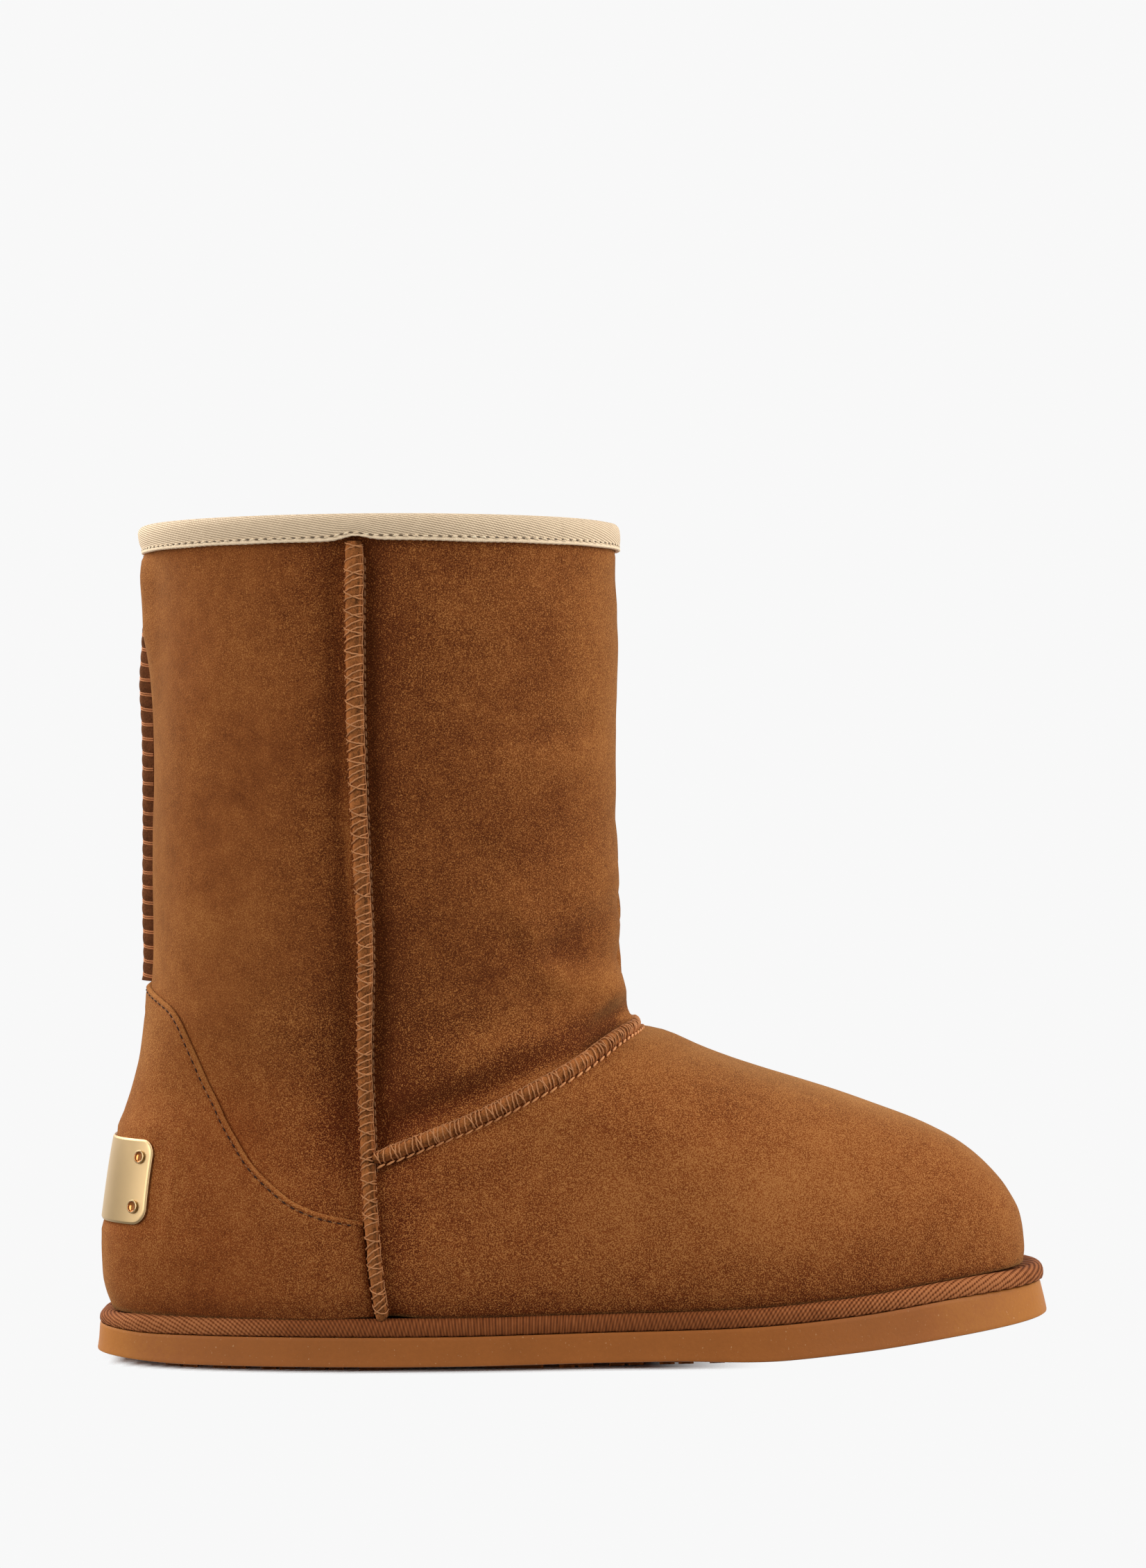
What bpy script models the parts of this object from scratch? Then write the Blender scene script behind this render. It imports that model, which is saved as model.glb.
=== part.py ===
"""A pull-on ankle boot of sheepskin, for the right foot, as separate pieces.

The boot stands on z = 0. +X points to the toe, -Y to the outer side of the foot, and the origin lies on
the floor under the middle of the sole. Every piece follows one form, on_form(), which gives the outer
face of the upper from a short table of level sections.
"""

import math
from collections import namedtuple

import bmesh
import bpy
import numpy as np
from mathutils import Vector

MM = 0.001

# Driving sizes, in millimetres
SOLE_BACK, SOLE_FRONT = -137.9, 138.1
TREAD = 1.2  # how far the bars stand below the outsole's edge
GUM = 8.7  # height of the outsole's side
RAND = 5.3  # height of the tape-wrapped rand
WALL = 6.0  # suede and pile together
GAP = 0.3  # left between pieces that meet
SEAM_GAP = 0.45  # under a seam, which crosses the facets of the upper
ANKLE_GAP = 0.7  # under the seam that crosses the hollow of the ankle
OVERLAY_GAP = 0.42  # under the counter and the plate
COUNTER = 1.2  # thickness of the counter's suede
SEAM_PROUD = 3.2
VAMP_SEAM_PROUD = 2.4
SIDE_SEAM_WIDTH = 5.2
VAMP_SEAM_WIDTH = 4.6
BACK_SEAM_WIDTH = 4.0
TAPE = 1.4  # thickness of the collar's tape
TAPE_OUTER, TAPE_INNER = 7.2, 6.2  # how far it reaches down, outside and inside
INSOLE = 6.0
PLATE = 0.8
PLATE_LENGTH, PLATE_HEIGHT, PLATE_CORNER = 64.0, 23.5, 3.0
PLATE_MIDDLE = 51.0  # height of the plate's middle above the floor
RIVET_RADIUS, RIVET_PROUD = 1.65, 0.9
RIVET_INSET_ALONG, RIVET_INSET_UP = 5.2, 4.8

SOLE_TOP = TREAD + GUM + RAND
FOOT_TOP = 97.0  # height where the foot passes into the shaft
COLLAR = 238.0  # height of the collar at the back
COLLAR_DROP = 1.3  # the front of the collar is this much lower
DROP_START = 150.0
COLLAR_BAND = 9.0  # the upper runs straight up for this much below the collar

# Mesh fineness
AROUND = 56
FOOT_STEPS, SHAFT_STEPS, COUNTER_ROWS, PLATE_STEPS = 20, 8, 12, 10
ANKLE_LEVELS = (91.2, 93.4, 95.2, 99.5, 103.0)  # more levels where the vamp turns up into the shaft

# One row for each level of the boot, in millimetres: its height at the heel, its back and front ends, its
# half breadth over the heel, the waist and the ball of the foot, how square its two ends are (2 is an
# ellipse), how far its middle bows to the outer side, and how far its toe turns to the inner side.
Section = namedtuple(
    "Section",
    "height back front heel waist ball heel_square toe_square bow toe_in",
)
SECTIONS = (
    Section(15.5, -131.1, 131.4, 41.5, 41.5, 50.0, 3.0, 2.3, 8.0, 6.0),
    Section(20.0, -132.8, 131.9, 43.2, 43.0, 51.6, 3.0, 2.3, 8.0, 6.0),
    Section(25.0, -133.9, 131.6, 44.2, 43.8, 52.0, 2.9, 2.3, 7.8, 5.8),
    Section(32.0, -134.1, 130.5, 44.6, 44.2, 51.8, 2.9, 2.3, 7.2, 5.3),
    Section(40.0, -133.0, 127.2, 44.6, 44.0, 50.8, 2.8, 2.3, 6.4, 4.6),
    Section(48.0, -131.9, 121.7, 44.4, 43.6, 49.4, 2.7, 2.3, 5.4, 3.8),
    Section(55.0, -130.8, 114.5, 44.0, 43.2, 47.8, 2.6, 2.3, 4.4, 3.1),
    Section(61.0, -129.8, 105.3, 43.6, 42.8, 46.3, 2.5, 2.3, 3.6, 2.5),
    Section(66.0, -128.7, 94.7, 43.3, 42.4, 45.0, 2.4, 2.3, 2.9, 2.0),
    Section(71.0, -127.2, 81.6, 43.0, 42.2, 43.6, 2.3, 2.3, 2.3, 1.5),
    Section(76.0, -125.6, 67.8, 42.9, 42.2, 42.4, 2.2, 2.25, 1.7, 1.1),
    Section(81.0, -124.3, 53.4, 42.9, 42.4, 41.8, 2.15, 2.2, 1.2, 0.7),
    Section(86.0, -123.1, 39.6, 43.1, 42.8, 42.0, 2.1, 2.1, 0.8, 0.4),
    Section(90.0, -122.4, 30.0, 43.4, 43.3, 42.6, 2.05, 2.05, 0.4, 0.2),
    Section(93.5, -121.8, 21.2, 43.8, 43.9, 43.4, 2.0, 2.0, 0.2, 0.1),
    Section(97.0, -121.2, 17.3, 44.2, 44.4, 44.3, 2.0, 2.0, 0.0, 0.0),
    Section(103.0, -120.1, 15.8, 44.8, 45.2, 45.1, 2.0, 2.0, 0.0, 0.0),
    Section(118.0, -118.7, 15.3, 46.2, 46.6, 46.2, 2.0, 2.0, 0.0, 0.0),
    Section(150.0, -118.6, 15.0, 48.2, 48.4, 48.2, 2.0, 2.0, 0.0, 0.0),
    Section(185.0, -118.3, 15.4, 49.6, 49.8, 49.6, 2.0, 2.0, 0.0, 0.0),
    Section(207.0, -117.8, 16.5, 50.4, 50.6, 50.4, 2.0, 2.0, 0.0, 0.0),
    Section(229.0, -118.3, 15.2, 51.0, 51.0, 51.0, 2.0, 2.0, 0.0, 0.0),
    Section(238.0, -120.0, 14.9, 51.4, 51.4, 51.4, 2.0, 2.0, 0.0, 0.0),
)

# The sole seen from above, by the same columns, and how far its edge and its top rise towards the toe.
SOLE_PLAN = Section(0.0, SOLE_BACK, SOLE_FRONT, 44.6, 44.2, 53.0, 3.0, 2.3, 8.0, 6.0)
Spring = namedtuple("Spring", "station under top")
SPRING = (
    Spring(-30.0, 0.0, 0.0),
    Spring(40.0, 0.9, 1.2),
    Spring(80.0, 2.6, 3.2),
    Spring(110.0, 4.9, 6.0),
    Spring(138.0, 7.0, 7.3),
)

# Courses over the outer side of the form: distance along the foot and height above the floor.
Stop = namedtuple("Stop", "along height")
SIDE_SEAM = (
    Stop(-57.0, 229.2),
    Stop(-58.5, 190.0),
    Stop(-58.6, 150.0),
    Stop(-57.0, 110.0),
    Stop(-55.5, 80.0),
    Stop(-53.8, 48.0),
    Stop(-51.3, 15.9),
)
VAMP_SEAM = (
    Stop(-46.9, 60.4),
    Stop(-37.0, 64.6),
    Stop(-27.0, 68.8),
    Stop(-8.0, 78.6),
    Stop(3.5, 84.8),
    Stop(13.0, 90.8),
)
VAMP_CREST = 94.2  # height of the vamp seam at the front of the ankle
COUNTER_EDGE = (
    Stop(-119.0, 107.2),
    Stop(-112.8, 102.5),
    Stop(-108.5, 97.5),
    Stop(-104.5, 88.5),
    Stop(-100.5, 79.5),
    Stop(-96.5, 71.5),
    Stop(-92.5, 64.5),
    Stop(-88.5, 58.5),
    Stop(-82.5, 52.5),
    Stop(-76.5, 48.0),
    Stop(-68.5, 44.8),
    Stop(-57.4, 42.6),
)
COUNTER_TOP = 108.5

# Tread: a low pad under the outsole, cut into bars by grooves across the foot.
PAD_INSET = 6.5
FLAT_TO = 46.0  # the pad lies on the floor from the heel to here, then springs with the toe
WAIST_BACK, WAIST_FRONT, WAIST_RISE = -62.0, -6.0, 0.7
GROOVE_PITCH, GROOVE_WIDTH = 14.0, 4.5
GROOVE_FIRST, GROOVE_LAST = -118.0, 122.0
GROOVE_PAST = 3.0  # how far the cutter reaches below the floor
GROOVE_SKIN = 0.2  # left between a groove's floor and the outsole's underside


def smooth_table(rows):
    """A function that runs smoothly through rows of numbers, led by their first column, without overshoot."""
    data = np.array(rows, dtype=float)
    knots = data[:, 0]
    width = np.diff(knots)[:, None]
    slope = np.diff(data, axis=0) / width
    before, after = slope[:-1], slope[1:]
    total = np.where(before + after == 0, 1, before + after)
    tangent = np.vstack(
        [slope[:1], np.where(before * after > 0, 2 * before * after / total, 0), slope[-1:]]
    )

    def at(value):
        i = int(np.clip(np.searchsorted(knots, value) - 1, 0, len(knots) - 2))
        w = width[i, 0]
        t = (value - knots[i]) / w
        if t < 0 or t > 1:
            end = 0 if t < 0 else -1
            return data[end] + tangent[end] * (value - knots[end])
        return (
            data[i] * (1 + 2 * t) * (1 - t) ** 2
            + data[i + 1] * t * t * (3 - 2 * t)
            + w * (tangent[i] * t * (1 - t) ** 2 - tangent[i + 1] * t * t * (1 - t))
        )

    return at


section_at = smooth_table(SECTIONS)
spring_at = smooth_table(SPRING)


def spring(x):
    """How far the sole's edge and its top rise at a distance along the foot."""
    if x <= SPRING[0].station:
        return 0.0, 0.0
    _, under, top = spring_at(x)
    return under, top


def plan_point(section, angle):
    """A point of a level's outline: angle 0 at the toe, plus on the inner side, minus on the outer side."""
    c, s = math.cos(angle), math.sin(angle)
    square = section.toe_square if c >= 0 else section.heel_square
    along = math.copysign(abs(c) ** (2 / square), c)
    t = min(1.0, abs(along) * 2)
    end = section.ball if along > 0 else section.heel
    breadth = section.waist + (end - section.waist) * t * t * (3 - 2 * t)
    bow = section.bow * (1 - along * along) ** 2
    middle = section.toe_in * (1 + along) / 2 - bow
    x = (section.back + section.front) / 2 + (section.front - section.back) / 2 * along
    return x, middle + math.copysign(breadth * abs(s) ** (2 / square), s)


def ring_height(level, section, x):
    """The height at x of the level that is at this height at the heel."""
    left = max(0.0, min(1.0, (FOOT_TOP - level) / (FOOT_TOP - SECTIONS[0].height)))
    t = max(0.0, min(1.0, (level - DROP_START) / (COLLAR - DROP_START)))
    drop = COLLAR_DROP * t * t * (3 - 2 * t)
    share = (x - section.back) / (section.front - section.back)
    return level + spring(x)[1] * left * left - drop * share


def form_point(angle, level):
    section = Section(*section_at(level))
    x, y = plan_point(section, angle)
    return Vector((x, y, ring_height(level, section, x)))


def form_normal(angle, level, turn=0.01, rise=0.4):
    low, high = max(SECTIONS[0].height, level - rise), min(COLLAR, level + rise)
    round_it = form_point(angle + turn, level) - form_point(angle - turn, level)
    up_it = form_point(angle, high) - form_point(angle, low)
    return round_it.cross(up_it).normalized()


def on_form(angle, level, out=0.0):
    """A point of the upper's outer face, or this far outside it."""
    return form_point(angle, level) + form_normal(angle, level) * out


def beside_form(angle, level, out):
    """A point level with the form's own one, this far outside it measured flat."""
    normal = form_normal(angle, level)
    flat = Vector((normal.x, normal.y, 0)).normalized()
    return form_point(angle, level) + flat * out


def locate(stop, side=-1):
    """The form's angle and level at a distance along the foot and a height.

    Side is -1 on the outer face and 1 on the inner one.
    """
    level = stop.height
    for _ in range(30):
        section = Section(*section_at(level))
        level += stop.height - ring_height(level, section, stop.along)
    section = Section(*section_at(level))
    along = (2 * stop.along - section.back - section.front) / (section.front - section.back)
    square = section.toe_square if along >= 0 else section.heel_square
    c = math.copysign(min(1.0, abs(along)) ** (square / 2), along)
    return side * math.acos(c), level


def course(stops, steps, side):
    """Angles and levels along a smooth line through stops that climb one side of the form."""
    line = smooth_table([(-stop.height, stop.along) for stop in stops])
    heights = np.linspace(stops[0].height, stops[-1].height, steps + 1)
    return [locate(Stop(float(line(-z)[1]), float(z)), side) for z in heights]


def smooth_material(name, colour, roughness, metallic=0.0):
    material = bpy.data.materials.new(name)
    material.use_nodes = True
    surface = material.node_tree.nodes["Principled BSDF"]
    surface.inputs["Base Color"].default_value = (*colour, 1)
    surface.inputs["Roughness"].default_value = roughness
    surface.inputs["Metallic"].default_value = metallic
    return material


def finish(name, bm, material, sharp=math.radians(40)):
    """Turns a bmesh in millimetres into one named object."""
    bmesh.ops.recalc_face_normals(bm, faces=bm.faces)
    bmesh.ops.scale(bm, vec=(MM, MM, MM), verts=bm.verts)
    mesh = bpy.data.meshes.new(name)
    bm.to_mesh(mesh)
    bm.free()
    mesh.materials.append(material)
    mesh.shade_smooth()
    mesh.set_sharp_from_angle(angle=sharp)
    thing = bpy.data.objects.new(name, mesh)
    bpy.context.collection.objects.link(thing)
    return thing


def add_ring(bm, points):
    return [bm.verts.new(p) for p in points]


def bridge(bm, first, second, closed=True):
    """A band of faces between two rows of points."""
    count = len(first)
    for i in range(count if closed else count - 1):
        j = (i + 1) % count
        bm.faces.new((first[i], first[j], second[j], second[i]))


def skin(bm, rings, closed_round=True, closed_through=False):
    """Rows of points joined into one surface."""
    rows = [add_ring(bm, ring) for ring in rings]
    for a, b in zip(rows, rows[1:]):
        bridge(bm, a, b, closed_round)
    if closed_through:
        bridge(bm, rows[-1], rows[0], closed_round)
    return rows


def cap_across(bm, ring):
    """Fills a ring that is alike on both sides of the foot with strips that run across it."""
    half = len(ring) // 2
    for i in range(half):
        j = i + 1
        right, left = ring[-i % len(ring)], ring[-j % len(ring)]
        corners = [ring[i], ring[j], left, right]
        bm.faces.new(list(dict.fromkeys(corners)))


def ring_angles(count=AROUND):
    return [2 * math.pi * i / count for i in range(count)]


def foot_levels(steps=FOOT_STEPS):
    return [float(v) for v in np.linspace(SECTIONS[0].height, FOOT_TOP, steps + 1)]


def shaft_levels(steps=SHAFT_STEPS):
    """Evenly up to the tape's lower edge, then the collar itself."""
    return [float(v) for v in np.linspace(FOOT_TOP, COLLAR - COLLAR_BAND, steps)][1:] + [COLLAR]


def make_upper(material):
    """One hollow wall, open at the collar and underneath."""
    bm = bmesh.new()
    outer_levels = sorted(foot_levels() + list(ANKLE_LEVELS) + shaft_levels())
    inner_levels = foot_levels(FOOT_STEPS // 2) + shaft_levels(SHAFT_STEPS // 2)
    rings = [[on_form(a, level) for a in ring_angles()] for level in outer_levels]
    for level in reversed(inner_levels):
        edge = level in (inner_levels[0], inner_levels[-1])
        place = beside_form if edge else on_form
        rings.append([place(a, level, -WALL) for a in ring_angles()])
    skin(bm, rings, closed_through=True)
    return finish("upper", bm, material)


def seam_section(place, tangent, normal, width, gap, proud):
    """The six corners of a raised seam where it crosses one point of its course."""
    across = normal.cross(tangent).normalized()
    profile = ((-0.5, 0.0), (-0.5, 0.62), (-0.28, 1.0), (0.28, 1.0), (0.5, 0.62), (0.5, 0.0))
    return [place + across * (width * u) + normal * (gap + proud * v) for u, v in profile]


def make_seam(name, line, width, material, gap=SEAM_GAP, proud=SEAM_PROUD, flat_ends=False):
    """A raised seam along a course of angles and levels."""
    bm = bmesh.new()
    places = [form_point(a, level) for a, level in line]
    rings = []
    for i, (a, level) in enumerate(line):
        ahead = places[min(i + 1, len(line) - 1)] - places[max(i - 1, 0)]
        if flat_ends and i in (0, len(line) - 1):
            ahead = Vector((0, 0, ahead.z))
        normal = form_normal(a, level)
        normal = (normal - ahead * (normal.dot(ahead) / ahead.length_squared)).normalized()
        rings.append(seam_section(places[i], ahead, normal, width, gap, proud))
    rows = skin(bm, rings)
    bm.faces.new(rows[0])
    bm.faces.new(rows[-1])
    return finish(name, bm, material)


def side_seam_line(side):
    return course(SIDE_SEAM, 30, side)


def vamp_seam_line(steps=18):
    """From side seam to side seam over the instep, with its points closer together towards the crest."""
    crest = Stop(form_point(0.0, VAMP_CREST).x, VAMP_CREST)
    line = smooth_table([(stop.along, stop.height) for stop in (*VAMP_SEAM, crest)])
    start = VAMP_SEAM[0].along
    outer = []
    for share in np.linspace(1, 0, steps + 1)[:-1]:
        along = crest.along - (crest.along - start) * share * share
        outer.append(locate(Stop(along, float(line(along)[1]))))
    inner = [(-a, level) for a, level in reversed(outer)]
    return outer + [(0.0, VAMP_CREST)] + inner


def back_seam_line():
    low, high = COUNTER_TOP + 0.7, COLLAR - TAPE_OUTER - 0.5
    return [(math.pi, float(level)) for level in np.linspace(low, high, 13)]


def counter_top_at(angle, edge):
    """The counter's top level where it crosses an angle, read along its edge."""
    angles = [a for a, _ in edge]
    return float(np.interp(angle, angles, [level for _, level in edge]))


def counter_ends():
    """Where the counter ends at the side seam: the turn from the heel's middle at each level."""
    clear = SIDE_SEAM_WIDTH / 2 + 3.5 * GAP
    ends = [locate(Stop(stop.along - clear, stop.height)) for stop in reversed(SIDE_SEAM)]
    return [level for _, level in ends], [math.pi - abs(a) for a, _ in ends]


def make_counter(material):
    """A thin patch round the heel, from side seam to side seam, between two offsets of the form."""
    edge = [(math.pi - abs(a), level) for a, level in (locate(stop) for stop in COUNTER_EDGE)]
    edge = [(0.0, COUNTER_TOP)] + edge
    end_levels, end_turns = counter_ends()
    reach = min(end_turns)
    step = 2 * math.pi / AROUND
    turns = [i * step for i in range(AROUND) if i * step < reach - step / 3]
    turns = [-t for t in reversed(turns[1:])] + turns
    low = SECTIONS[0].height + 2 * GAP
    bm = bmesh.new()

    def row(share, out):
        points = []
        for turn in [-reach] + turns + [reach]:
            top = counter_top_at(abs(turn), edge)
            level = low + (top - low) * share
            if abs(turn) == reach:
                turn = math.copysign(float(np.interp(level, end_levels, end_turns)), turn)
            points.append(on_form(math.pi + turn, level, out))
        return points

    shares = np.linspace(0, 1, COUNTER_ROWS + 1) ** 1.25
    inner = skin(bm, [row(share, OVERLAY_GAP) for share in shares], closed_round=False)
    outer = skin(bm, [row(share, OVERLAY_GAP + COUNTER) for share in shares], closed_round=False)
    bridge(bm, boundary(inner), boundary(outer))
    return finish("heel_counter", bm, material)


def boundary(rows):
    """The points round the edge of a grid, in order."""
    right = [row[-1] for row in rows[1:-1]]
    left = [row[0] for row in rows[1:-1]]
    return rows[0] + right + rows[-1][::-1] + left[::-1]


def make_binding(material):
    """Tape folded over the collar: a closed ring with a U-shaped section."""
    inside = WALL + GAP
    profile = (
        (GAP, -TAPE_OUTER),
        (GAP + TAPE, -TAPE_OUTER),
        (GAP + TAPE, 0.2),
        (0.4, GAP + TAPE),
        (-WALL - 0.4, GAP + TAPE),
        (-inside - TAPE, 0.2),
        (-inside - TAPE, -TAPE_INNER),
        (-inside, -TAPE_INNER),
        (-inside, GAP),
        (GAP, GAP),
    )
    bm = bmesh.new()
    rings = []
    for out, up in profile:
        level = min(COLLAR, COLLAR + up)
        lift = Vector((0, 0, max(0.0, up)))
        rings.append([beside_form(a, level, out) + lift for a in ring_angles()])
    skin(bm, rings, closed_through=True)
    return finish("collar_binding", bm, material)


def sole_ring(inset, height_of):
    """The sole's outline drawn in by an inset, at the height that a rule gives for each distance."""
    points = []
    for a in ring_angles():
        turn = 0.01
        x, y = plan_point(SOLE_PLAN, a)
        x0, y0 = plan_point(SOLE_PLAN, a - turn)
        x1, y1 = plan_point(SOLE_PLAN, a + turn)
        out = Vector((y1 - y0, x0 - x1, 0)).normalized()
        place = Vector((x, y, 0)) - out * inset
        points.append(Vector((place.x, place.y, height_of(place.x))))
    return points


def sole_heights(share_of_gum, share_of_rand):
    """A rule for the height at a distance along the foot, so much up the gum and up the rand."""

    def height(x):
        under, top = spring(x)
        low = TREAD + under
        high = SOLE_TOP + top - RAND
        return low + (high - low) * share_of_gum + RAND * share_of_rand

    return height


def slab(name, rings, material):
    bm = bmesh.new()
    rows = skin(bm, rings)
    cap_across(bm, rows[0])
    cap_across(bm, rows[-1])
    return finish(name, bm, material)


def make_rand(material):
    steps = ((3.0, 0.0), (1.4, 0.22), (1.2, 0.72), (2.6, 1.0))
    rings = [sole_ring(inset, lifted(sole_heights(1, share), GAP * (1 - share))) for inset, share in steps]
    return slab("rand", rings, material)


def lifted(height, by):
    return lambda x: height(x) + by


def make_insole(material):
    low, high = SECTIONS[0].height, SECTIONS[0].height + INSOLE
    clear = WALL + GAP + 0.2
    outline = [beside_form(a, low, -clear) for a in ring_angles()]
    rings = [
        outline,
        [p + Vector((0, 0, high - low)) for p in outline],
    ]
    return slab("insole", rings, material)


def pad_height(x):
    """The underside of the tread: on the floor at heel and ball, raised at the waist, sprung at the toe."""
    if x > FLAT_TO:
        return spring(x)[0] - spring(FLAT_TO)[0]
    share = (x - WAIST_BACK) / (WAIST_FRONT - WAIST_BACK)
    return WAIST_RISE * math.sin(math.pi * share) ** 2 if 0 < share < 1 else 0.0


def make_grooves(material):
    """The cutter for the tread: one box across the foot for each groove."""
    bm = bmesh.new()
    for x in np.arange(GROOVE_FIRST, GROOVE_LAST, GROOVE_PITCH):
        if WAIST_BACK < x < WAIST_FRONT:
            continue
        top = TREAD + spring(x)[0] - GROOVE_SKIN
        low = -GROOVE_PAST
        box = bmesh.ops.create_cube(bm, size=1.0)["verts"]
        bmesh.ops.scale(bm, vec=(GROOVE_WIDTH, SOLE_FRONT, top - low), verts=box)
        bmesh.ops.translate(bm, vec=(x, 0.0, (top + low) / 2), verts=box)
    cutter = finish("tread_grooves", bm, material)
    cutter.hide_render = True
    cutter.display_type = "WIRE"
    return cutter


def make_outsole(material):
    """A gum slab with a flared side and a low pad under it, cut into bars."""
    steps = ((1.0, 1.0), (0.5, 0.35), (0.0, 0.08), (0.7, 0.0), (PAD_INSET, 0.0))
    rings = [sole_ring(inset, sole_heights(share, 0)) for inset, share in steps]
    rings.append(sole_ring(PAD_INSET + 0.8, pad_height))
    outsole = slab("outsole", rings, material)
    cut = outsole.modifiers.new("tread", "BOOLEAN")
    cut.object = make_grooves(material)
    cut.operation = "DIFFERENCE"
    return outsole


def heel_arc(level, arc):
    """The angle at an arc length round the heel from its middle, plus towards the inner side."""
    angle, run, step = math.pi, 0.0, 0.004
    way = -1 if arc > 0 else 1
    here = form_point(angle, level)
    while run < abs(arc):
        angle += way * step
        there = form_point(angle, level)
        run += (there - here).length
        here = there
    return angle


def plate_half_height(arc):
    """Half the plate's height at an arc length from its middle, less in the rounded corners."""
    short = PLATE_LENGTH / 2 - abs(arc)
    if short >= PLATE_CORNER:
        return PLATE_HEIGHT / 2
    drop = PLATE_CORNER - short
    return PLATE_HEIGHT / 2 - PLATE_CORNER + math.sqrt(max(0.0, PLATE_CORNER**2 - drop**2))


def plate_point(arc, up, out):
    level = PLATE_MIDDLE + up
    return on_form(heel_arc(level, arc), level, OVERLAY_GAP + COUNTER + OVERLAY_GAP + out)


def make_plate(material):
    """A thin plate bent round the heel, with rounded corners."""
    straight = PLATE_LENGTH / 2 - PLATE_CORNER
    corner = [straight + PLATE_CORNER * math.sin(math.pi / 2 * t) for t in (0.25, 0.5, 0.75, 1.0)]
    arcs = [-a for a in reversed(corner)] + list(np.linspace(-straight, straight, PLATE_STEPS + 1)) + corner
    shares = (-1, -1 / 3, 1 / 3, 1)
    bm = bmesh.new()

    def face(out):
        return [[plate_point(a, plate_half_height(a) * s, out) for a in arcs] for s in shares]

    inner = skin(bm, face(0.0), closed_round=False)
    outer = skin(bm, face(PLATE), closed_round=False)
    bridge(bm, boundary(inner), boundary(outer))
    return finish("heel_plate", bm, material)


def make_rivet(name, arc, up, material):
    """A low domed head that stands on the plate."""
    foot = plate_point(arc, up, PLATE + GAP)
    level = PLATE_MIDDLE + up
    normal = form_normal(heel_arc(level, arc), level)
    bm = bmesh.new()
    sizes = ((1.0, 0.0), (1.0, 0.5), (0.7, 1.0))
    rings = [
        [
            Vector((RIVET_RADIUS * r * math.cos(t), RIVET_RADIUS * r * math.sin(t), RIVET_PROUD * h))
            for t in ring_angles(14)
        ]
        for r, h in sizes
    ]
    rows = skin(bm, rings)
    bm.faces.new(rows[0])
    bm.faces.new(rows[-1])
    turn = normal.to_track_quat("Z", "Y")
    for v in bm.verts:
        v.co = foot + turn @ v.co
    return finish(name, bm, material)


def main():
    for thing in list(bpy.data.objects):
        bpy.data.objects.remove(thing, do_unlink=True)
    suede = smooth_material("suede", (0.30, 0.13, 0.045), 0.95)
    seam_suede = smooth_material("seam_suede", (0.24, 0.10, 0.035), 0.95)
    cream = smooth_material("cream_tape", (0.62, 0.48, 0.30), 0.9)
    brown = smooth_material("brown_tape", (0.13, 0.055, 0.025), 0.9)
    gum = smooth_material("gum", (0.47, 0.19, 0.05), 0.55)
    pile = smooth_material("pile", (0.66, 0.50, 0.32), 1.0)
    gold = smooth_material("pale_gold", (0.83, 0.66, 0.38), 0.28, 1.0)
    make_upper(suede)
    make_counter(suede)
    make_seam("side_seam_lateral", side_seam_line(-1), SIDE_SEAM_WIDTH, seam_suede, flat_ends=True)
    make_seam("side_seam_medial", side_seam_line(1), SIDE_SEAM_WIDTH, seam_suede, flat_ends=True)
    make_seam("vamp_seam", vamp_seam_line(), VAMP_SEAM_WIDTH, seam_suede, ANKLE_GAP, VAMP_SEAM_PROUD)
    make_seam("back_seam", back_seam_line(), BACK_SEAM_WIDTH, seam_suede, flat_ends=True)
    make_binding(cream)
    make_rand(brown)
    make_outsole(gum)
    make_insole(pile)
    make_plate(gold)
    corners = [(side, up) for side in (-1, 1) for up in (-1, 1)]
    for number, (side, up) in enumerate(corners, start=1):
        arc = side * (PLATE_LENGTH / 2 - RIVET_INSET_ALONG)
        make_rivet(f"rivet_{number}", arc, up * (PLATE_HEIGHT / 2 - RIVET_INSET_UP), gold)


main()
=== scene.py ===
"""A pull-on suede ankle boot with a pile lining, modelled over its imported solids."""

import math

import bpy
import numpy as np
from mathutils import Matrix, Vector, noise


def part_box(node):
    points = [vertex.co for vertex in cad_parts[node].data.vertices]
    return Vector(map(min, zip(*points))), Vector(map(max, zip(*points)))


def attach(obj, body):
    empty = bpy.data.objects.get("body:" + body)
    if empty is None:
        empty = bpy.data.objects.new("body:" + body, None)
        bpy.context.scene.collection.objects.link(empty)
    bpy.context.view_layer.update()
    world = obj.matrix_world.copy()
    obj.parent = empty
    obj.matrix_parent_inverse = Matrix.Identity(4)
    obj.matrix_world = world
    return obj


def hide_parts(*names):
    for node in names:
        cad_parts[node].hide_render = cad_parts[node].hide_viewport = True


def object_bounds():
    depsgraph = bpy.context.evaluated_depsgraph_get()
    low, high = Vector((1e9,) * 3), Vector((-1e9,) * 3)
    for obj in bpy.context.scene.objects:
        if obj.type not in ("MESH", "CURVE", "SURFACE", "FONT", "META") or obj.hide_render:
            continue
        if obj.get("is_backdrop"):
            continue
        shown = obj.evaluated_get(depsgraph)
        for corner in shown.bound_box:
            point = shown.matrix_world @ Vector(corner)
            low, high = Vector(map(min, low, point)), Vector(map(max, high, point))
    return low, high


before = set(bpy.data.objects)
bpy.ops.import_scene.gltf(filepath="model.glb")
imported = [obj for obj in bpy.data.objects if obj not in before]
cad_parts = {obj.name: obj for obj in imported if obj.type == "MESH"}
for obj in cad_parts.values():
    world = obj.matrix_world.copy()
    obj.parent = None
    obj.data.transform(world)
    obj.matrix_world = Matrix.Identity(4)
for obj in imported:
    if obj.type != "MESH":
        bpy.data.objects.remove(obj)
cad_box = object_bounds()

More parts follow.
